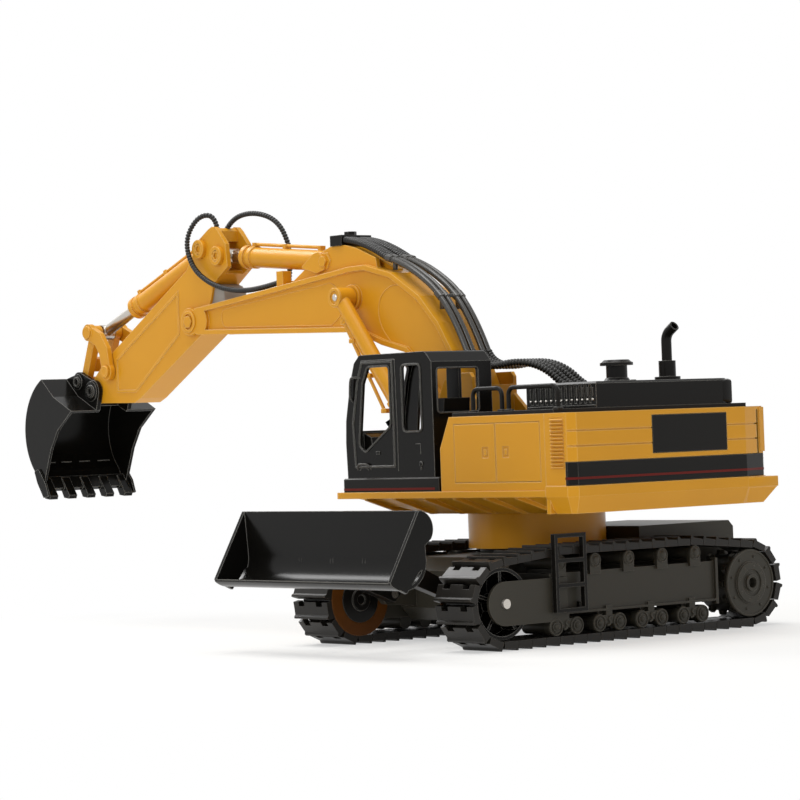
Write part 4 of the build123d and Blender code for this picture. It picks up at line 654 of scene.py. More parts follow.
    def finish(self, name: str, finish: MouldedPlastic | PlatedSteel | CoatedSheet, slot: Slot,
               body: Body | None, smooth: float = 35.0) -> bpy.types.Object:
        """Turns the shape into a piece.

        Args:
            name: the piece's name.
            finish: what it is made of.
            slot: the record's slot that it belongs to; not used.
            body: the body that it rides on, or None where it rides on none.
            smooth: edges flatter than this many degrees are shaded smooth.
        Returns:
            The finished piece.
        """
        bmesh.ops.remove_doubles(self.bm, verts=self.bm.verts, dist=MERGED)
        bmesh.ops.recalc_face_normals(self.bm, faces=self.bm.faces)
        bmesh.ops.scale(self.bm, vec=(MM, MM, MM), verts=self.bm.verts)
        for face in self.bm.faces:
            face.smooth = True
        for edge in self.bm.edges:
            edge.smooth = len(edge.link_faces) == 2 and edge.calc_face_angle(0.0) < math.radians(smooth)
        mesh = bpy.data.meshes.new(name)
        self.bm.to_mesh(mesh)
        self.bm.free()
        piece = bpy.data.objects.new(name, mesh)
        bpy.context.scene.collection.objects.link(piece)
        mesh.materials.append(SHOP.get(finish))
        if body is not None:
            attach(piece, body.value)
        LOG.info("%s: %d faces", name, len(mesh.polygons))
        return piece


# ---------------------------------------------------------------- hoses
@dataclass
class RibbedHose:
    """One ribbed hose, held at both ends: a smooth tube whose ribs stand a fixed pitch apart."""
    route: Sequence[Point]
    radius: float = 2.4
    pitch: float = 2.1
    groove: float = 0.75
    shoulder: float = 0.08
    sides: int = 14

    def stations(self, length: float) -> list[tuple[float, float]]:
        """Rings of the hose's skin.

        Args:
            length: the hose's length.
        Returns:
            How far along the hose each ring lies, and its radius.
        """
        ribs = max(2, round(length / self.pitch))
        foot, rise = self.radius - self.groove, self.radius - self.shoulder
        rib = ((0.0, foot), (0.22, rise), (0.5, self.radius), (0.78, rise))    # shares of the pitch
        made = [((i + share) / ribs * length, radius) for i in range(ribs) for share, radius in rib]
        return made + [(length, foot)]

    def places(self) -> Iterator[Matrix]:
        """Places the hose's rings along its route without twist.

        Returns:
            For each ring, the placement of a circle of radius 1.
        """
        points = spline_line(self.route)
        reach = [0.0]
        for a, b in zip(points, points[1:]):
            reach.append(reach[-1] + (b - a).length)
        k, facing, turn = 0, Vector((0, 0, 1)), Matrix.Identity(3)
        for where, radius in self.stations(reach[-1]):
            while k < len(reach) - 2 and reach[k + 1] < where:
                k += 1
            share = (where - reach[k]) / max(reach[k + 1] - reach[k], 1e-9)
            spot = points[k].lerp(points[k + 1], share)
            ahead = (points[min(k + 2, len(points) - 1)] - points[k]).normalized()
            turn = facing.rotation_difference(ahead).to_matrix() @ turn
            facing = ahead
            yield Matrix.Translation(spot) @ turn.to_4x4() @ Matrix.Diagonal((radius, radius, radius, 1.0))

    def add_to(self, shape: Shape) -> None:
        """Builds the hose's ribbed skin.

        Args:
            shape: the mesh that it becomes part of.
        """
        places = self.places()
        before = next(places)
        verts = bmesh.ops.create_circle(shape.bm, cap_ends=True, segments=self.sides, radius=1.0,
                                        matrix=before)["verts"]
        ring = list({e for v in verts for e in v.link_edges})
        for place in places:
            grown = bmesh.ops.extrude_edge_only(shape.bm, edges=ring)["geom"]
            verts = [g for g in grown if isinstance(g, bmesh.types.BMVert)]
            members = set(verts)
            ring = [g for g in grown if isinstance(g, bmesh.types.BMEdge) and members.issuperset(g.verts)]
            bmesh.ops.transform(shape.bm, matrix=place @ before.inverted(), verts=verts)
            before = place
        bmesh.ops.edgeloop_fill(shape.bm, edges=ring)


@dataclass
class Hoses:
    """The three sets of ribbed hoses and the rigid lines, along the same routes as their solids."""
    line_ys: tuple = (-9.2, -4.2, 4.2, 9.2)
    port_ys: tuple = (-40.5, -34.5, -28.5, -22.5)
    line_route: tuple = ((124.0, 244.0), (104.0, 238.5), (66.0, 212.5), (50.0, 180.0))
    line_radius: float = 1.9
    # start, end and radius of the collar at each end of a line
    collars: tuple = (((125.5, 244.6), (120.5, 243.2), 2.5), ((77.0, 218.9), (73.0, 215.4), 2.4))
    # x, z and foot length of each cross bar; the bar's corners; half a foot's plan
    bars: tuple = ((120.5, 243.0, 7.0), (75.0, 217.0, 9.0))
    bar: tuple = ((-1.1, -10.2, -1.4), (1.1, 10.2, 1.0))
    bar_edge: float = 0.3
    foot_half: tuple = (1.4, 1.1)
    foot_y: float = 6.7
    # x, z and how far across from its line to its port each point of a base hose lies
    base_route: tuple = ((50, 180, 0), (43, 167, 0), (4, 174, 0.5), (-16.5, 147.5, 1), (-45, 148.4, 1))
    manifold_route: tuple = ((169, 259.2), (149, 257.4), (124, 244))
    loop_route: tuple = ((315, 4.9, 272), (316, 5, 286.5), (329.5, 11, 288), (339, 16.6, 271),
                         (331, 17, 250.5), (309, 17, 237.5), (283, 16, 231.4), (259, 12.6, 231.6),
                         (236.5, 10.2, 235.6))
    arch_route: tuple = ((317, -1, 272), (310, -2, 283.5), (286, -4, 287.5), (263, -8, 280),
                         (253.5, -10.6, 261), (254, -10.6, 247), (256.5, -10.6, 235))
    slim_radius: float = 1.9
    slim_pitch: float = 2.2

    def build(self) -> None:
        """Builds all the hoses and lines."""
        self.rigid_lines()
        self.house_to_boom()
        self.along_boom()
        self.boom_to_arm()

    def rigid_lines(self) -> None:
        """Four rigid lines down the boom's back, held by two slim cross bars that stand on it."""
        shape = Shape()
        for y in self.line_ys:
            shape.bead(spline_line(spread(View.SIDE, y, self.line_route)), self.line_radius, sides=4)
            for start, end, radius in self.collars:
                shape.bead(spread(View.SIDE, y, (start, end)), radius, sides=4)
        a, b = self.foot_half
        for x, z, foot in self.bars:
            shape.block(*self.bar, edge=self.bar_edge, at=(x, 0, z))
            for y in (-self.foot_y, self.foot_y):
                shape.block((-a, -b, -foot), (a, b, 0), edge=self.bar_edge, at=(x, y, z))
        piece = shape.finish("boom_lines", LINE_ABS, Slot.SATIN_BLACK, Body.BOOM)
        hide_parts("boom_line_rails")

    def house_to_boom(self) -> None:
        """Four hoses from the hood's front to the rigid lines."""
        shape = Shape()
        for y, port in zip(self.line_ys, self.port_ys):
            RibbedHose([(x, y + (port - y) * across, z) for x, z, across in self.base_route]).add_to(shape)
        piece = shape.finish("base_hoses_ribbed", HOSE_RUBBER, Slot.HOSE, None, smooth=70)
        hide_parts("base_hoses")
        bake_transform(piece)

    def along_boom(self) -> None:
        """Four short hoses from the rigid lines to the manifold on the boom."""
        shape = Shape()
        for y in self.line_ys:
            RibbedHose(spread(View.SIDE, y, self.manifold_route)).add_to(shape)
        piece = shape.finish("manifold_hoses_ribbed", HOSE_RUBBER, Slot.HOSE, Body.BOOM, smooth=70)
        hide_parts("manifold_hoses")

    def boom_to_arm(self) -> None:
        """A low loop beside the arm and a high arch behind it, from the arm's ears to the boom's back."""
        shape = Shape()
        for route in (self.loop_route, self.arch_route):
            RibbedHose(route, radius=self.slim_radius, pitch=self.slim_pitch).add_to(shape)
        piece = shape.finish("arm_hoses_ribbed", HOSE_RUBBER, Slot.HOSE, None, smooth=70)
        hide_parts("arm_hoses")
        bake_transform(piece)


# ---------------------------------------------------------------- undercarriage
# From here on a ring is (inner radius, outer radius, height) and a stud or screw (radius, height, dome), each
# with its number of sides where that isn't the usual one.
@dataclass
class RunningGear:
    """Caps, rings and hubs on the outer faces of the two tracks, and the discs on their inner sides."""
    face_x: float = 83.5
    wheel_y: float = 103.5
    wheel_z: float = 27.6
    carrier_z: float = 49.2
    carrier_ys: tuple = (59.0, 30.5, 2.5, -26.0, -54.5)
    open_carrier: int = 2
    carrier_ring: tuple = (3.5, 4.4, 0.7)
    carrier_cap: tuple = (2.9, 0.8, 1.0)
    open_cap: tuple = (1.3, 3.0, 1.1)
    bogie_z: float = 11.3
    bogie_y: float = 55.4
    bogie_pitch: float = 35.5
    bogies: int = 4
    bogie_sunk: float = 0.4
    roller_half: float = 8.4
    roller_ring: tuple = (4.2, 5.3, 0.7)
    roller_cap: tuple = (1.8, 0.8, 0.4)
    roller_cap_out: float = 0.9
    hook: tuple = ((-2.4, -2.2), (-0.2, -2.2), (0.5, -0.2), (-0.9, 1.0), (0.2, 3.0), (2.0, 2.2))
    hook_z: float = 0.6
    hook_out: float = 0.2
    hook_radius: float = 0.75
    disc_x: float = 51.5
    disc_ring: tuple = (14.0, 22.5, 0.9)
    disc_hub: tuple = (14.2, 1.2)
    hub_sunk: float = 0.9
    hub_ring: tuple = (3.0, 7.0, 1.4)
    sprocket_x: float = 82.5
    # how far out each ring of a sprocket stands, and the ring
    sprocket_rings: tuple = ((0.0, (19.7, 21.1, 0.6, 48)), (0.9, (8.4, 12.7, 0.8, 40)),
                             (1.4, (3.3, 5.4, 1.2)))
    # how far out each circle of pins stands, the circle's radius and the pin
    sprocket_pins: tuple = ((0.0, 16.6, (0.9, 0.6, 0.3, 12)), (1.6, 10.5, (0.6, 0.35, 0.2, 10)))
    pins: int = 8
    first_pin: float = 0.3

    def build(self) -> None:
        """Builds the trim of both tracks."""
        self.carrier_caps()
        self.bogie_caps()
        self.inner_discs()
        self.sprocket_hub(-1, Body.LEFT_SPROCKET, "left")
        self.sprocket_hub(1, Body.RIGHT_SPROCKET, "right")

    def carrier_caps(self) -> None:
        """Domed axle caps of the carrier rollers, one of them open."""
        shape = Shape()
        for sign in SIDES:
            for i, y in enumerate(self.carrier_ys):
                base, axis = (sign * self.face_x, y, self.carrier_z), (sign, 0, 0)
                shape.ring(base, axis, *self.carrier_ring)
                if i == self.open_carrier:
                    shape.ring(base, axis, *self.open_cap)
                else:
                    shape.stud(base, axis, *self.carrier_cap)
        shape.finish("carrier_roller_caps", CHARCOAL_ABS, Slot.CHARCOAL, Body.UNDERCARRIAGE)

    def bogie_caps(self) -> None:
        """Rings, axle caps and the hook-shaped spring between the rollers of each bogie."""
        shape = Shape()
        for sign in SIDES:
            axis, plate = (sign, 0, 0), sign * (self.face_x - self.bogie_sunk)
            for i in range(self.bogies):
                middle = self.bogie_y - i * self.bogie_pitch
                for y in (middle - self.roller_half, middle + self.roller_half):
                    shape.ring((plate, y, self.bogie_z), axis, *self.roller_ring)
                    shape.stud((plate + sign * self.roller_cap_out, y, self.bogie_z), axis, *self.roller_cap)
                hook = [(middle + sign * a, self.bogie_z + self.hook_z + b) for a, b in self.hook]
                shape.bead(spline_line(spread(View.CROSS, plate + sign * self.hook_out, hook)),
                           self.hook_radius)
        shape.finish("bogie_caps", CHARCOAL_ABS, Slot.CHARCOAL, Body.UNDERCARRIAGE)

    def inner_discs(self) -> None:
        """Cover rings round black hubs on the inner sides of the two idlers, their yellow darkened to brown
        as painted shade.
        """
        shape, hubs = Shape(), Shape()
        for sign in SIDES:
            axis, base = (-sign, 0, 0), (sign * self.disc_x, self.wheel_y, self.wheel_z)
            shape.ring(base, axis, *self.disc_ring)
            hubs.stud(base, axis, *self.disc_hub)
            inner = (sign * (self.disc_x - self.hub_sunk), self.wheel_y, self.wheel_z)
            hubs.ring(inner, axis, *self.hub_ring)
        # the rings are yellow plastic in deep shade; their brown finish is painted shade
        shape.finish("idler_cover_discs", YELLOW_ABS_PAINTED_SHADE, Slot.YELLOW, Body.UNDERCARRIAGE)
        hubs.finish("idler_cover_hubs", SATIN_BLACK_ABS, Slot.SATIN_BLACK, Body.UNDERCARRIAGE)

    def sprocket_hub(self, sign: int, body: Body, name: str) -> None:
        """Rim, stepped hub and pins of a sprocket's outer disc.

        Args:
            sign: -1 for the left track, 1 for the right.
            body: the sprocket's body.
            name: left or right.
        """
        shape = Shape()
        axis, disc = (sign, 0, 0), sign * self.sprocket_x
        for out, ring in self.sprocket_rings:
            shape.ring((disc + sign * out, -self.wheel_y, self.wheel_z), axis, *ring)
        for k in range(self.pins):
            turn = (k + self.first_pin) * 2 * math.pi / self.pins
            for out, reach, pin in self.sprocket_pins:
                shape.stud((disc + sign * out, -self.wheel_y + reach * math.cos(turn),
                            self.wheel_z + reach * math.sin(turn)), axis, *pin)
        shape.finish(f"{name}_sprocket_hub", CHARCOAL_ABS, Slot.GLOSS_BLACK, body)


# ---------------------------------------------------------------- house
@dataclass
class CabTrim:
    """Window rims, door lines, handles, dashboard and red line of the cab."""
    side_y: float = 80.0
    rear_x: float = 3.0
    rim_out: float = 0.1
    door_window: tuple = ((64.1, 171.5), (43.0, 171.5), (43.0, 134.0), (68.7, 117.7), (74.6, 122.4),
                          (69.6, 160.9))
    side_window: tuple = ((13.4, 130), (31.4, 130), (31.4, 171.5), (13.4, 171.5))
    rear_window: tuple = ((42, 141), (76, 141), (76, 168.5), (42, 168.5))
    # corner radius of a window and radius of its rim
    side_rim: tuple = (3.5, 0.75)
    rear_rim: tuple = (2.5, 0.6)
    # thin ridges on the cab's side: points and radius
    ridges: tuple = ((((70.2, 175.2), (37.6, 175.2)), 0.4),
                     (((37.6, 175.2), (37.0, 130), (37.2, 106)), 0.35),
                     (((20.1, 122.4), (15.5, 122.4), (15.5, 116)), 0.35))
    sill: tuple = ((76.0, 43.5, 112.0), (79.6, 77.0, 131.6))
    sill_edge: float = 0.5
    dash: tuple = ((66.0, 112.0), (76.2, 112.0), (76.2, 130.4), (69.0, 127.4))
    dash_y: float = 45.0
    dash_width: float = 30.0
    lever: tuple = ((70.5, 60, 127.0), (70.0, 60, 132.0), (67.5, 60, 133.6))
    lever_radius: float = 0.7
    visor: tuple = ((42.0, 131.4), (48.6, 136.4), (45.4, 133.0), (42.0, 139.2))
    visor_y: float = 79.0
    visor_depth: float = 0.9
    # routes on the side: x, height over the face, z
    grab_handle: tuple = ((80.2, -0.5, 150.2), (80.4, 1.8, 152), (80.0, 1.8, 158), (79.2, 1.8, 164.6),
                          (76.5, 1.8, 165.2), (71.5, -0.5, 165.0))
    grab_radius: float = 0.8
    door_handle: tuple = ((77.0, -0.3, 107.2), (76.4, 1.4, 110.4), (70.5, 1.4, 110.9), (64.6, 1.4, 110.4),
                          (64.0, -0.3, 107.2))
    handle_radius: float = 0.6
    handle_line: tuple = ((75.0, 106.8), (72.5, 108.4), (68.5, 108.4), (66.0, 106.8))
    line_radius: float = 0.4
    catch: tuple = ((54.6, -0.3, 116.4), (58.0, 0.7, 118.6))
    catch_edge: float = 0.3
    # centre and stud of the lock and of its keyhole
    locks: tuple = (((15.4, 110.1), (1.7, 0.6, 0.5, 20)), ((15.4, 107.2), (0.9, 0.4, 0.3, 14)))
    print_z: tuple = (94.1, 95.5)
    print_out: float = 0.12
    print_sunk: float = 0.2
    # how far from the base's rear and right edges the line starts
    print_starts: tuple = (4, 1)

    def build(self) -> None:
        """Builds the cab's trim."""
        self.rims()
        self.handles()
        self.red_line()
        self.dashboard()

    def rims(self) -> None:
        """Raised rims round the windows and thin ridges along the door."""
        shape = Shape()
        for window in (self.door_window, self.side_window):
            shape.outline(View.SIDE, self.side_y + self.rim_out, window, *self.side_rim)
        shape.outline(View.CROSS, self.rear_x - self.rim_out, self.rear_window, *self.rear_rim)
        for line, radius in self.ridges:
            shape.bead(spread(View.SIDE, self.side_y, line), radius)
        shape.finish("cab_window_rims", GLOSS_BLACK_ABS, Slot.GLOSS_BLACK, Body.HOUSE)

    def handles(self) -> None:
        """Grab handle on the front post, door handle, lock and catch."""
        shape = Shape()
        for route, radius in ((self.grab_handle, self.grab_radius), (self.door_handle, self.handle_radius)):
            shape.bead(spline_line([(x, self.side_y + out, z) for x, out, z in route]), radius)
        shape.bead(spread(View.SIDE, self.side_y, self.handle_line), self.line_radius)
        shape.block(*self.catch, edge=self.catch_edge, at=(0, self.side_y, 0))
        for (x, z), stud in self.locks:
            shape.stud((x, self.side_y, z), (0, 1, 0), *stud)
        shape.finish("cab_handles", GLOSS_BLACK_ABS, Slot.GLOSS_BLACK, Body.HOUSE)

    def red_line(self) -> None:
        """Printed red line along the band under the cab, on its side and its front."""
        low, high = (Vector(corner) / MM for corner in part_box("cab_base"))
        (foot, head), (rear, right) = self.print_z, self.print_starts
        out, sunk = self.print_out, self.print_sunk
        shape = Shape()
        shape.block((low.x + rear, high.y - sunk, foot), (high.x - sunk, high.y + out, head))
        shape.block((high.x - sunk, low.y + right, foot), (high.x + out, high.y + out, head))
        shape.finish("cab_red_line", RED_PRINT, Slot.SATIN_BLACK, Body.HOUSE)

    def dashboard(self) -> None:
        """Sill and dashboard under the windscreen, seen through the door window, with a lever and a visor."""
        shape = Shape()
        shape.block(*self.sill, edge=self.sill_edge)
        shape.prism(View.SIDE, self.dash_y, self.dash, self.dash_width)
        shape.bead(spline_line(self.lever), self.lever_radius)
        shape.prism(View.SIDE, self.visor_y, self.visor, self.visor_depth)
        shape.finish("cab_dashboard", GLOSS_BLACK_ABS, Slot.GLOSS_BLACK, Body.HOUSE)


@dataclass
class HouseTrim:
    """Stripe line, hood grille, vents, square rear corners and fastenings of the upper structure."""
    corners: tuple = ((-117.0, 83.4), (-118.7, 83.4), (-123.4, 79.1), (-123.4, -61.7), (-117.5, -82.7))
    middle: tuple = (-90.0, 0.0)
    line_z: tuple = (98.9, 100.3)
    print_out: float = 0.2
    print_sunk: float = 0.5
    hood_y: float = 45.0
    hood_xs: tuple = (-104.5, -45.5)
    grille_bars: int = 13
    bar_z: tuple = (147.2, 152.6)
    bar_radius: float = 0.45
    peg_z: float = 145.2
    peg: tuple = (0.75, 0.5, 0.3, 12)
    peg_axis: tuple = (0, 1, 0.6)
    ledge_z: float = 141.8
    ledge_radius: float = 0.5
    vent_x: tuple = (-116.2, -105.4)
    vent_z: tuple = (105.5, 135.5)
    vent_y: tuple = (82.6, 84.3)
    vents: int = 14
    slat_z: tuple = (-0.75, -0.75, -0.45, 0.7)    # of a slat's inner, outer, outer and inner corner
    # the house's post, the skirt's lip and its sloping plate at the right rear corner
    post: tuple = ((-118.7, -79.2), (-117.5, -84.3), (-115.6, -84.3), (-117.4, -79.0))
    post_z: float = 110.2
    post_height: float = 27.2
    lip: tuple = ((-123.9, -58.0), (-123.9, -88.6), (-104.0, -88.6), (-104.0, -80.0), (-112.0, -58.0))
    lip_z: float = 88.6
    lip_height: float = 6.3
    lip_edge: float = 0.4
    lip_angle: float = 0.5         # edges turning less than this, in radians, stay as they are
    plate_low: tuple = ((-118.4, -58.0), (-118.4, -80.4), (-106.0, -80.4), (-106.0, -58.0))
    plate_top: tuple = ((-123.4, -58.0), (-123.4, -88.2), (-104.4, -88.2), (-104.4, -58.0))
    plate_z: tuple = (79.0, 88.8)
    hood_end: tuple = ((-105.0, -71.4, 139.9), (-60.0, -60.0, 155.5))
    hood_edge: float = 2.0
    mark_x: float = -101.0
    mark_z: float = 156.0
    mark_ys: tuple = (10.0, 19.0, 28.0)
    mark_half: float = 2.0
    mark_radius: float = 0.5
    rail_xs: tuple = (-29.0, -55.0, -61.0, -104.0)
    rail_y: float = 75.0
    rail_flange: tuple = (3.0, 0.9, 0.0, 20)
    deck_z: float = 140.4

    def build(self) -> None:
        """Builds the trim of the house."""
        self.stripe_line()
        self.hood_grille()
        self.rail_feet()
        self.louvres()
        self.skirt_corner()
        self.hood_cap()

    def stripe_line(self) -> None:
        """Red line printed along the black band of the counterweight."""
        shape = Shape()
        outer, middle = [Vector(c) for c in self.corners], Vector(self.middle)
        for a, b in zip(outer, outer[1:]):
            inward = Vector((-(b - a).y, (b - a).x)).normalized()
            if inward.dot(middle - a) < 0:
                inward = -inward
            out, sunk = -self.print_out * inward, self.print_sunk * inward
            shape.prism(View.LEVEL, self.line_z[0], [a + out, b + out, b + sunk, a + sunk],
                        self.line_z[1] - self.line_z[0])
        shape.finish("stripe_red_line", RED_PRINT, Slot.SATIN_BLACK, Body.HOUSE)

    def hood_grille(self) -> None:
        """Upright bars over the hood's grille, each with a bright peg at its foot."""
        bars, pegs = Shape(), Shape()
        step = (self.hood_xs[1] - self.hood_xs[0]) / self.grille_bars
        for i in range(self.grille_bars):
            x = self.hood_xs[0] + step * (i + 0.5)
            bars.bead(spread(View.SIDE, self.hood_y, [(x, z) for z in self.bar_z]), self.bar_radius)
            pegs.stud((x, self.hood_y, self.peg_z), self.peg_axis, *self.peg)
        bars.bead(spread(View.SIDE, self.hood_y, [(x, self.ledge_z) for x in self.hood_xs]),
                  self.ledge_radius)
        bars.finish("hood_grille_bars", GLOSS_BLACK_ABS, Slot.GLOSS_BLACK, Body.HOUSE)
        pegs.finish("hood_grille_pegs", PLATED_STEEL, Slot.STEEL, Body.HOUSE)

    def rail_feet(self) -> None:
        """Flanges under the handrails' feet."""
        shape = Shape()
        for x in self.rail_xs:
            shape.stud((x, self.rail_y, self.deck_z), (0, 0, 1), *self.rail_flange)
        shape.finish("handrail_flanges", SATIN_BLACK_ABS, Slot.SATIN_BLACK, Body.HOUSE)

    def louvres(self) -> None:
        """Slanted slats of the two vents behind the service doors."""
        shape = Shape()
        step = (self.vent_z[1] - self.vent_z[0]) / self.vents
        for sign in SIDES:
            inner, outer = (sign * y for y in self.vent_y)
            for i in range(self.vents):
                z = self.vent_z[0] + step * (i + 0.5)
                slat = [(y, z + rise) for y, rise in zip((inner, outer, outer, inner), self.slat_z)]
                shape.prism(View.CROSS, self.vent_x[0], slat, self.vent_x[1] - self.vent_x[0])
        shape.finish("vent_louvres", YELLOW_ABS, Slot.YELLOW, Body.HOUSE)

    def skirt_corner(self) -> None:
        """Square lip and sloping plate at the skirt's right rear corner, and the corner post above them."""
        shape = Shape()
        shape.prism(View.LEVEL, self.post_z, self.post, self.post_height)
        lip = shape.prism(View.LEVEL, self.lip_z, self.lip, self.lip_height)
        edges = {edge for face in lip for edge in face.edges}
        shape.soften([edge for edge in edges if edge.calc_face_angle(0.0) > self.lip_angle], self.lip_edge)
        low, high = self.plate_z
        shape.tapered(spread(View.LEVEL, low, self.plate_low), spread(View.LEVEL, high, self.plate_top))
        shape.finish("skirt_corner", YELLOW_ABS, Slot.YELLOW, Body.HOUSE)

    def hood_cap(self) -> None:
        """Square end of the hood at its right rear corner and the small marks on its top."""
        shape = Shape()
        shape.block(*self.hood_end, edge=self.hood_edge)
        for y in self.mark_ys:
            shape.bead([(self.mark_x, y - self.mark_half, self.mark_z),
                        (self.mark_x, y + self.mark_half, self.mark_z)], self.mark_radius)
        shape.finish("hood_bands", GLOSS_BLACK_ABS, Slot.GLOSS_BLACK, Body.HOUSE)


# ---------------------------------------------------------------- boom and arm
@dataclass
class BoomTrim:
    """Hump, ridges, bosses and screws of the boom, and the clips and pipes of its cylinders."""
    web: float = 13.0
    panel: tuple = ((304.1, 219.5), (181.0, 231.2), (171.4, 226.0), (171.0, 208.8), (181.2, 202.8),
                    (302.5, 207.4))
    panel_corner: float = 6.0
    eye_curve: tuple = ((92.0, 213.5), (100.7, 221.5), (114.8, 227.5), (129.5, 220.6), (132.5, 207.0),
                        (127.0, 195.0), (118.0, 187.6))
    ridge: float = 0.4
    hump: tuple = ((169.3, 255.0), (186.0, 255.0), (180.0, 243.0), (124.0, 232.0), (125.0, 237.4),
                   (134.5, 242.2), (150.7, 249.6), (160.0, 253.0))
    hump_half: float = 3.2
    clip_spots: tuple = ((276.5, 254.6), (253.2, 252.6), (231.9, 250.9), (212.0, 249.2))
    clip: tuple = ((-1.7, -2.6, -3.4), (1.7, 2.6, 1.9))
    clip_edge: float = 0.4
    barrel_y: float = 24.6
    pipe: tuple = ((153.8, 203.4), (145.6, 190.8), (130.4, 167.4), (115.2, 144.0))
    pipe_radius: float = 1.2
    pipe_block: tuple = ((-3.4, -2.0, -1.5), (1.8, 2.0, 1.5))
    slab: tuple = ((212.0, 243.1), (198.7, 251.4), (192.9, 252.8), (185.5, 247.5), (186.5, 240.4),
                   (195.0, 238.4))
    slab_y: float = 12.3
    slab_depth: float = 1.3
    slab_corner: tuple = (1.2, 3)    # radius and steps
    nose: tuple = (339.0, 15.5, 213.0)
    nose_ring: tuple = (5.3, 7.8, 1.2)
    eye: tuple = (157.0, 29.2, 220.0)
    eye_ring: tuple = (4.2, 6.5, 0.9)
    eye_screw: tuple = (2.4, 0.3, 0.7, 20)

    def build(self) -> None:
        """Builds the boom's trim."""
        self.barrel_clips()
        self.barrel_pipes()
        ridges, slabs, screws, eyes = Shape(), Shape(), Shape(), Shape()
        slabs.prism(View.SIDE, -self.hump_half, self.hump, 2 * self.hump_half)
        for sign in SIDES:
            out = (0, sign, 0)
            nose, eye = ((x, sign * y, z) for x, y, z in (self.nose, self.eye))
            ridges.outline(View.SIDE, sign * self.web, self.panel, self.panel_corner, self.ridge)
            ridges.bead(spline_line(spread(View.SIDE, sign * self.web, self.eye_curve)), self.ridge)
            slabs.prism(View.SIDE, sign * self.slab_y, rounded(self.slab, *self.slab_corner),
                        sign * self.slab_depth)
            slabs.ring(nose, out, *self.nose_ring)
            eyes.ring(eye, out, *self.eye_ring)
            screws.stud(eye, out, *self.eye_screw)
        ridges.finish("boom_panel_ridges", YELLOW_ABS, Slot.YELLOW, Body.BOOM)
        slabs.finish("boom_bosses", YELLOW_ABS, Slot.YELLOW, Body.BOOM)
        eyes.finish("boom_cylinder_rings", YELLOW_ABS, Slot.YELLOW, Body.BOOM_BARRELS)
        screws.finish("boom_pin_screws", PLATED_STEEL, Slot.STEEL, Body.BOOM)

    def barrel_clips(self) -> None:
        """Clips of the line along the arm cylinder's barrel."""
        clips = Shape()
        for x, z in self.clip_spots:
            clips.block(*self.clip, edge=self.clip_edge, at=(x, 0, z))
        clips.finish("arm_barrel_clips", YELLOW_ABS, Slot.YELLOW, Body.ARM_BARREL)

    def barrel_pipes(self) -> None:
        """A pipe with its blocks under the barrel of each boom cylinder."""
        pipes = Shape()
        for y in (-self.barrel_y, self.barrel_y):
            pipes.bead(spread(View.SIDE, y, (self.pipe[0], self.pipe[-1])), self.pipe_radius, sides=3)
            for x, z in self.pipe:
                pipes.block(*self.pipe_block, edge=self.clip_edge, at=(x, y, z))
        pipes.finish("boom_barrel_pipes", YELLOW_ABS, Slot.YELLOW, Body.BOOM_BARRELS)


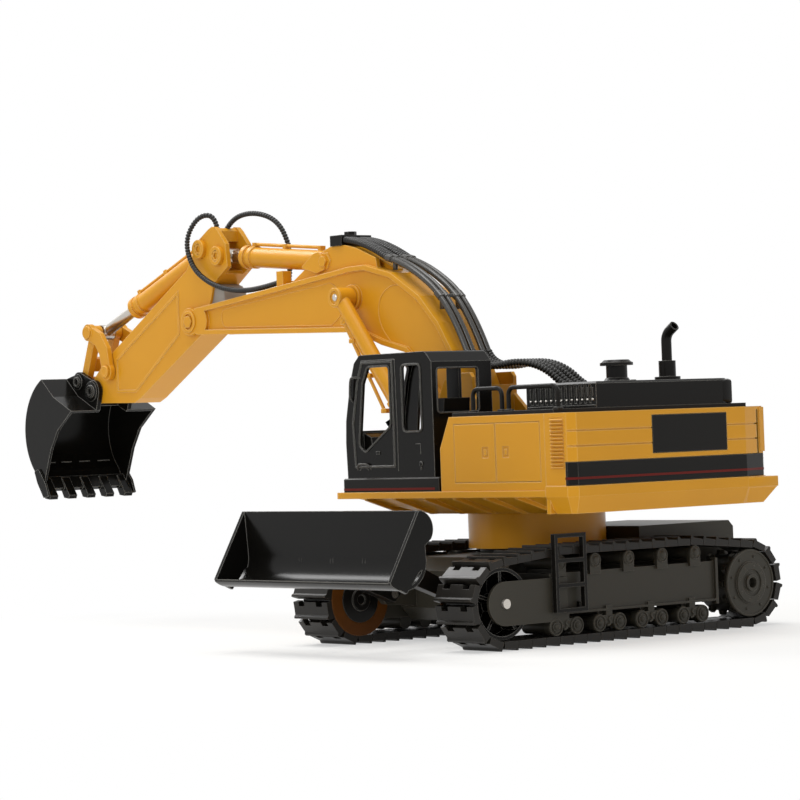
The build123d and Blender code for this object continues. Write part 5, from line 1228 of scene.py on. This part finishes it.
@dataclass
class ArmTrim:
    """Bosses and screws on the arm, its linkage and the bucket."""
    half: float = 11.5
    ears: tuple = ((327.4, 263.6), (307.0, 257.6))
    ear_ring: tuple = (3.9, 6.7, 3.2)
    # a six-sided socket: its reach, how far out it lies, its corners' radius and its rim's
    socket: float = 3.3
    socket_out: float = 2.2
    socket_rim: tuple = (0.2, 0.75)
    rocker: tuple = (443.0, 181.6)
    rocker_y: float = 16.9
    rocker_ring: tuple = (2.3, 4.5, 1.4)
    rocker_screw: tuple = (1.9, 0.6, 0.5, 18)
    screw_out: float = 0.1
    # centre and radius of each boss on a bucket ear
    bucket_pins: tuple = (((462.5, 167.8), 7.6), ((479.5, 175.3), 6.0))
    bucket_ear_y: float = 15.7
    boss_height: float = 1.4
    # the ring on a boss: its opening, its share of the boss's radius and its height
    boss_hole: float = 2.4
    boss_share: float = 0.6
    boss_step: float = 1.6
    bucket_side_y: float = 37.9
    cutter: tuple = ((507.1, 110.0), (502.0, 112.0), (493.0, 101.0), (489.5, 91.4), (496.0, 90.4),
                     (503.6, 101.5))
    cutter_corner: tuple = (0.8, 2)    # radius and steps
    cutter_depth: float = 1.7
    slots: tuple = ((22.3, 26.8), (8.0, 17.0), (-8.3, 0.8), (-26.5, -15.5))
    slot_x: float = 504.4
    slot_z: float = 116.4
    slot_radius: float = 0.45

    def build(self) -> None:
        """Builds the trim of arm, rockers and bucket."""
        self.ear_bosses()
        self.pivot_screws()
        self.bucket_bosses()
        self.bucket_edges()

    def ear_bosses(self) -> None:
        """Round bosses with six-sided sockets on the arm's ears."""
        shape = Shape()
        hexagon = [(self.socket * math.cos(k * math.pi / 3), self.socket * math.sin(k * math.pi / 3))
                   for k in range(6)]
        for sign in SIDES:
            for x, z in self.ears:
                shape.ring((x, sign * self.half, z), (0, sign, 0), *self.ear_ring)
                corners = [(x + a, z + b) for a, b in hexagon]
                shape.outline(View.SIDE, sign * (self.half + self.socket_out), corners, *self.socket_rim)
        shape.finish("arm_ear_bosses", YELLOW_ABS, Slot.YELLOW, Body.ARM)

    def pivot_screws(self) -> None:
        """Screws at the rocker pivots, each in a round boss."""
        bosses, screws = Shape(), Shape()
        x, z = self.rocker
        for sign in SIDES:
            bosses.ring((x, sign * self.rocker_y, z), (0, sign, 0), *self.rocker_ring)
            screws.stud((x, sign * (self.rocker_y + self.screw_out), z), (0, sign, 0), *self.rocker_screw)
        bosses.finish("rocker_pivot_bosses", YELLOW_ABS, Slot.YELLOW, Body.ARM)
        screws.finish("rocker_pivot_screws", PLATED_STEEL, Slot.STEEL, Body.ARM)

    def bucket_bosses(self) -> None:
        """Stepped round bosses on the bucket's ears."""
        shape = Shape()
        for sign in SIDES:
            for (x, z), radius in self.bucket_pins:
                y, out = self.bucket_ear_y, (0, sign, 0)
                shape.stud((x, sign * y, z), out, radius, self.boss_height)
                shape.ring((x, sign * (y + self.boss_height), z), out, self.boss_hole,
                           self.boss_share * radius, self.boss_step)
        shape.finish("bucket_ear_bosses", GLOSS_BLACK_ABS, Slot.GLOSS_BLACK, Body.BUCKET)

    def bucket_edges(self) -> None:
        """Side cutters and the row of slots inside the bucket."""
        shape = Shape()
        for sign in SIDES:
            shape.prism(View.SIDE, sign * self.bucket_side_y, rounded(self.cutter, *self.cutter_corner),
                        sign * self.cutter_depth)
        for start, end in self.slots:
            shape.bead([(self.slot_x, y, self.slot_z) for y in (start, end)], self.slot_radius)
        shape.finish("bucket_side_cutters", GLOSS_BLACK_ABS, Slot.GLOSS_BLACK, Body.BUCKET)


# ---------------------------------------------------------------- studio
@dataclass(frozen=True)
class SoftBox:
    """A square lamp with a diffuser, in metres and watts, turned to the excavator."""
    name: str
    spot: tuple
    size: float
    power: float
    aim: tuple = (0.1, 0.0, 0.12)

    def hang(self) -> None:
        """Puts the lamp in the scene."""
        lamp = bpy.data.lights.new(self.name, "AREA")
        lamp.shape = "SQUARE"
        lamp.size = self.size
        lamp.energy = self.power
        holder = bpy.data.objects.new(self.name, lamp)
        turn = (Vector(self.aim) - Vector(self.spot)).to_track_quat("-Z", "Y").to_matrix()
        holder.matrix_world = Matrix.Translation(self.spot) @ turn.to_4x4()
        bpy.context.scene.collection.objects.link(holder)


@dataclass
class Studio:
    """Camera, floor, white room and soft light."""
    focal_mm: float = 139.06
    sensor_mm: float = 36.0
    clip_m: tuple = (0.05, 60.0)
    heading: float = 0.8719
    pitch: float = -0.0091
    roll: float = -0.0367
    distance: float = 1934.2
    shift_right: float = -88.3
    shift_up: float = 146.9
    floor_radius: float = 14.0
    fade_m: tuple = (0.14, 0.55)         # how far from the middle the shadow starts and ends to fade
    fade_share: tuple = (0.5, 1.0)       # how much the floor shines by itself there
    room_light: float = 0.42
    # a softbox overhead, a key to the front left, a weak fill, and one behind for bright edges
    boxes: tuple = (SoftBox("overhead_box", (0.1, 0.2, 2.2), 1.4, 31.0),
                    SoftBox("key_box", (-0.5, 2.5, 1.5), 0.9, 17.0),
                    SoftBox("side_box", (-2.4, -0.4, 1.2), 1.0, 4.0),
                    SoftBox("back_box", (1.75, 0.1, 1.45), 0.9, 18.0))

    def build(self) -> None:
        """Builds the studio."""
        self.place_camera()
        self.lay_floor()
        for box in self.boxes:
            box.hang()
        self.light_room()

    def place_camera(self) -> None:
        """Sets up the camera from its heading, pitch, roll and distance, and makes it the scene's."""
        across, up_share = math.cos(self.pitch), math.sin(self.pitch)
        back = Vector((-math.sin(self.heading) * across, math.cos(self.heading) * across, up_share))
        level_right = Vector((-math.cos(self.heading), -math.sin(self.heading), 0))
        level_up = back.cross(level_right)
        right = math.cos(self.roll) * level_right + math.sin(self.roll) * level_up
        up = -math.sin(self.roll) * level_right + math.cos(self.roll) * level_up
        spot = (back * self.distance + right * self.shift_right + up * self.shift_up) * MM
        lens = bpy.data.cameras.new("camera")
        lens.lens = self.focal_mm
        lens.sensor_width = self.sensor_mm
        lens.clip_start, lens.clip_end = self.clip_m
        camera = bpy.data.objects.new("camera", lens)
        camera.matrix_world = Matrix.Translation(spot) @ Matrix((right, up, back)).transposed().to_4x4()
        bpy.context.scene.collection.objects.link(camera)
        bpy.context.scene.camera = camera

    def lay_floor(self) -> None:
        """Lays a pale floor that keeps the shadow near the object and fades into the white room."""
        bm = bmesh.new()
        bmesh.ops.create_circle(bm, cap_ends=True, segments=96, radius=self.floor_radius)
        mesh = bpy.data.meshes.new("floor")
        bm.to_mesh(mesh)
        bm.free()
        floor = bpy.data.objects.new("floor", mesh)
        bpy.context.scene.collection.objects.link(floor)
        mesh.materials.append(self.floor_paper())

    def floor_paper(self) -> bpy.types.Material:
        """White paper that the eye sees half lit by itself near the middle, and wholly further out.

        Returns:
            The floor's material.
        """
        material, paper, place = principled("white_paper_floor")
        tree = material.node_tree
        feed(paper, {"Base Color": linear("#e9e8e4"), "Roughness": 0.85, "Specular IOR Level": 0.1})
        reach = node(tree, "VectorMath", {0: place}, operation="LENGTH").outputs["Value"]
        far = ranged(reach, *self.fade_share, *self.fade_m)
        share = node(tree, "Math", {0: seen_directly(tree), 1: far}, operation="MULTIPLY")
        white = node(tree, "Emission", {"Color": (1, 1, 1, 1), "Strength": 1.0})
        mix = node(tree, "MixShader", {0: share.outputs[0], 1: paper.outputs[0], 2: white.outputs[0]})
        feed(tree.nodes["Material Output"], {"Surface": mix.outputs[0]})
        return material

    def light_room(self) -> None:
        """Gives the room a white look and a softer light."""
        world = bpy.data.worlds.new("white_room")
        world.use_nodes = True
        bpy.context.scene.world = world
        tree = world.node_tree
        room = tree.nodes["Background"]
        feed(room, {"Color": (1, 1, 1, 1), "Strength": self.room_light})
        white = node(tree, "Background", {"Color": (1, 1, 1, 1), "Strength": 1.0})
        mix = node(tree, "MixShader", {0: seen_directly(tree), 1: room.outputs[0], 2: white.outputs[0]})
        feed(tree.nodes["World Output"], {"Surface": mix.outputs[0]})
        bpy.context.scene.view_settings.view_transform = "Standard"


def main() -> None:
    """Builds the excavator's looks in order."""
    logging.basicConfig(level=logging.INFO, format="%(message)s")
    Studio().build()
    Hoses().build()
    SHOP.dress_frame()
    for part in (RunningGear(), CabTrim(), HouseTrim(), BoomTrim(), ArmTrim()):
        part.build()


if __name__ == "__main__":
    main()
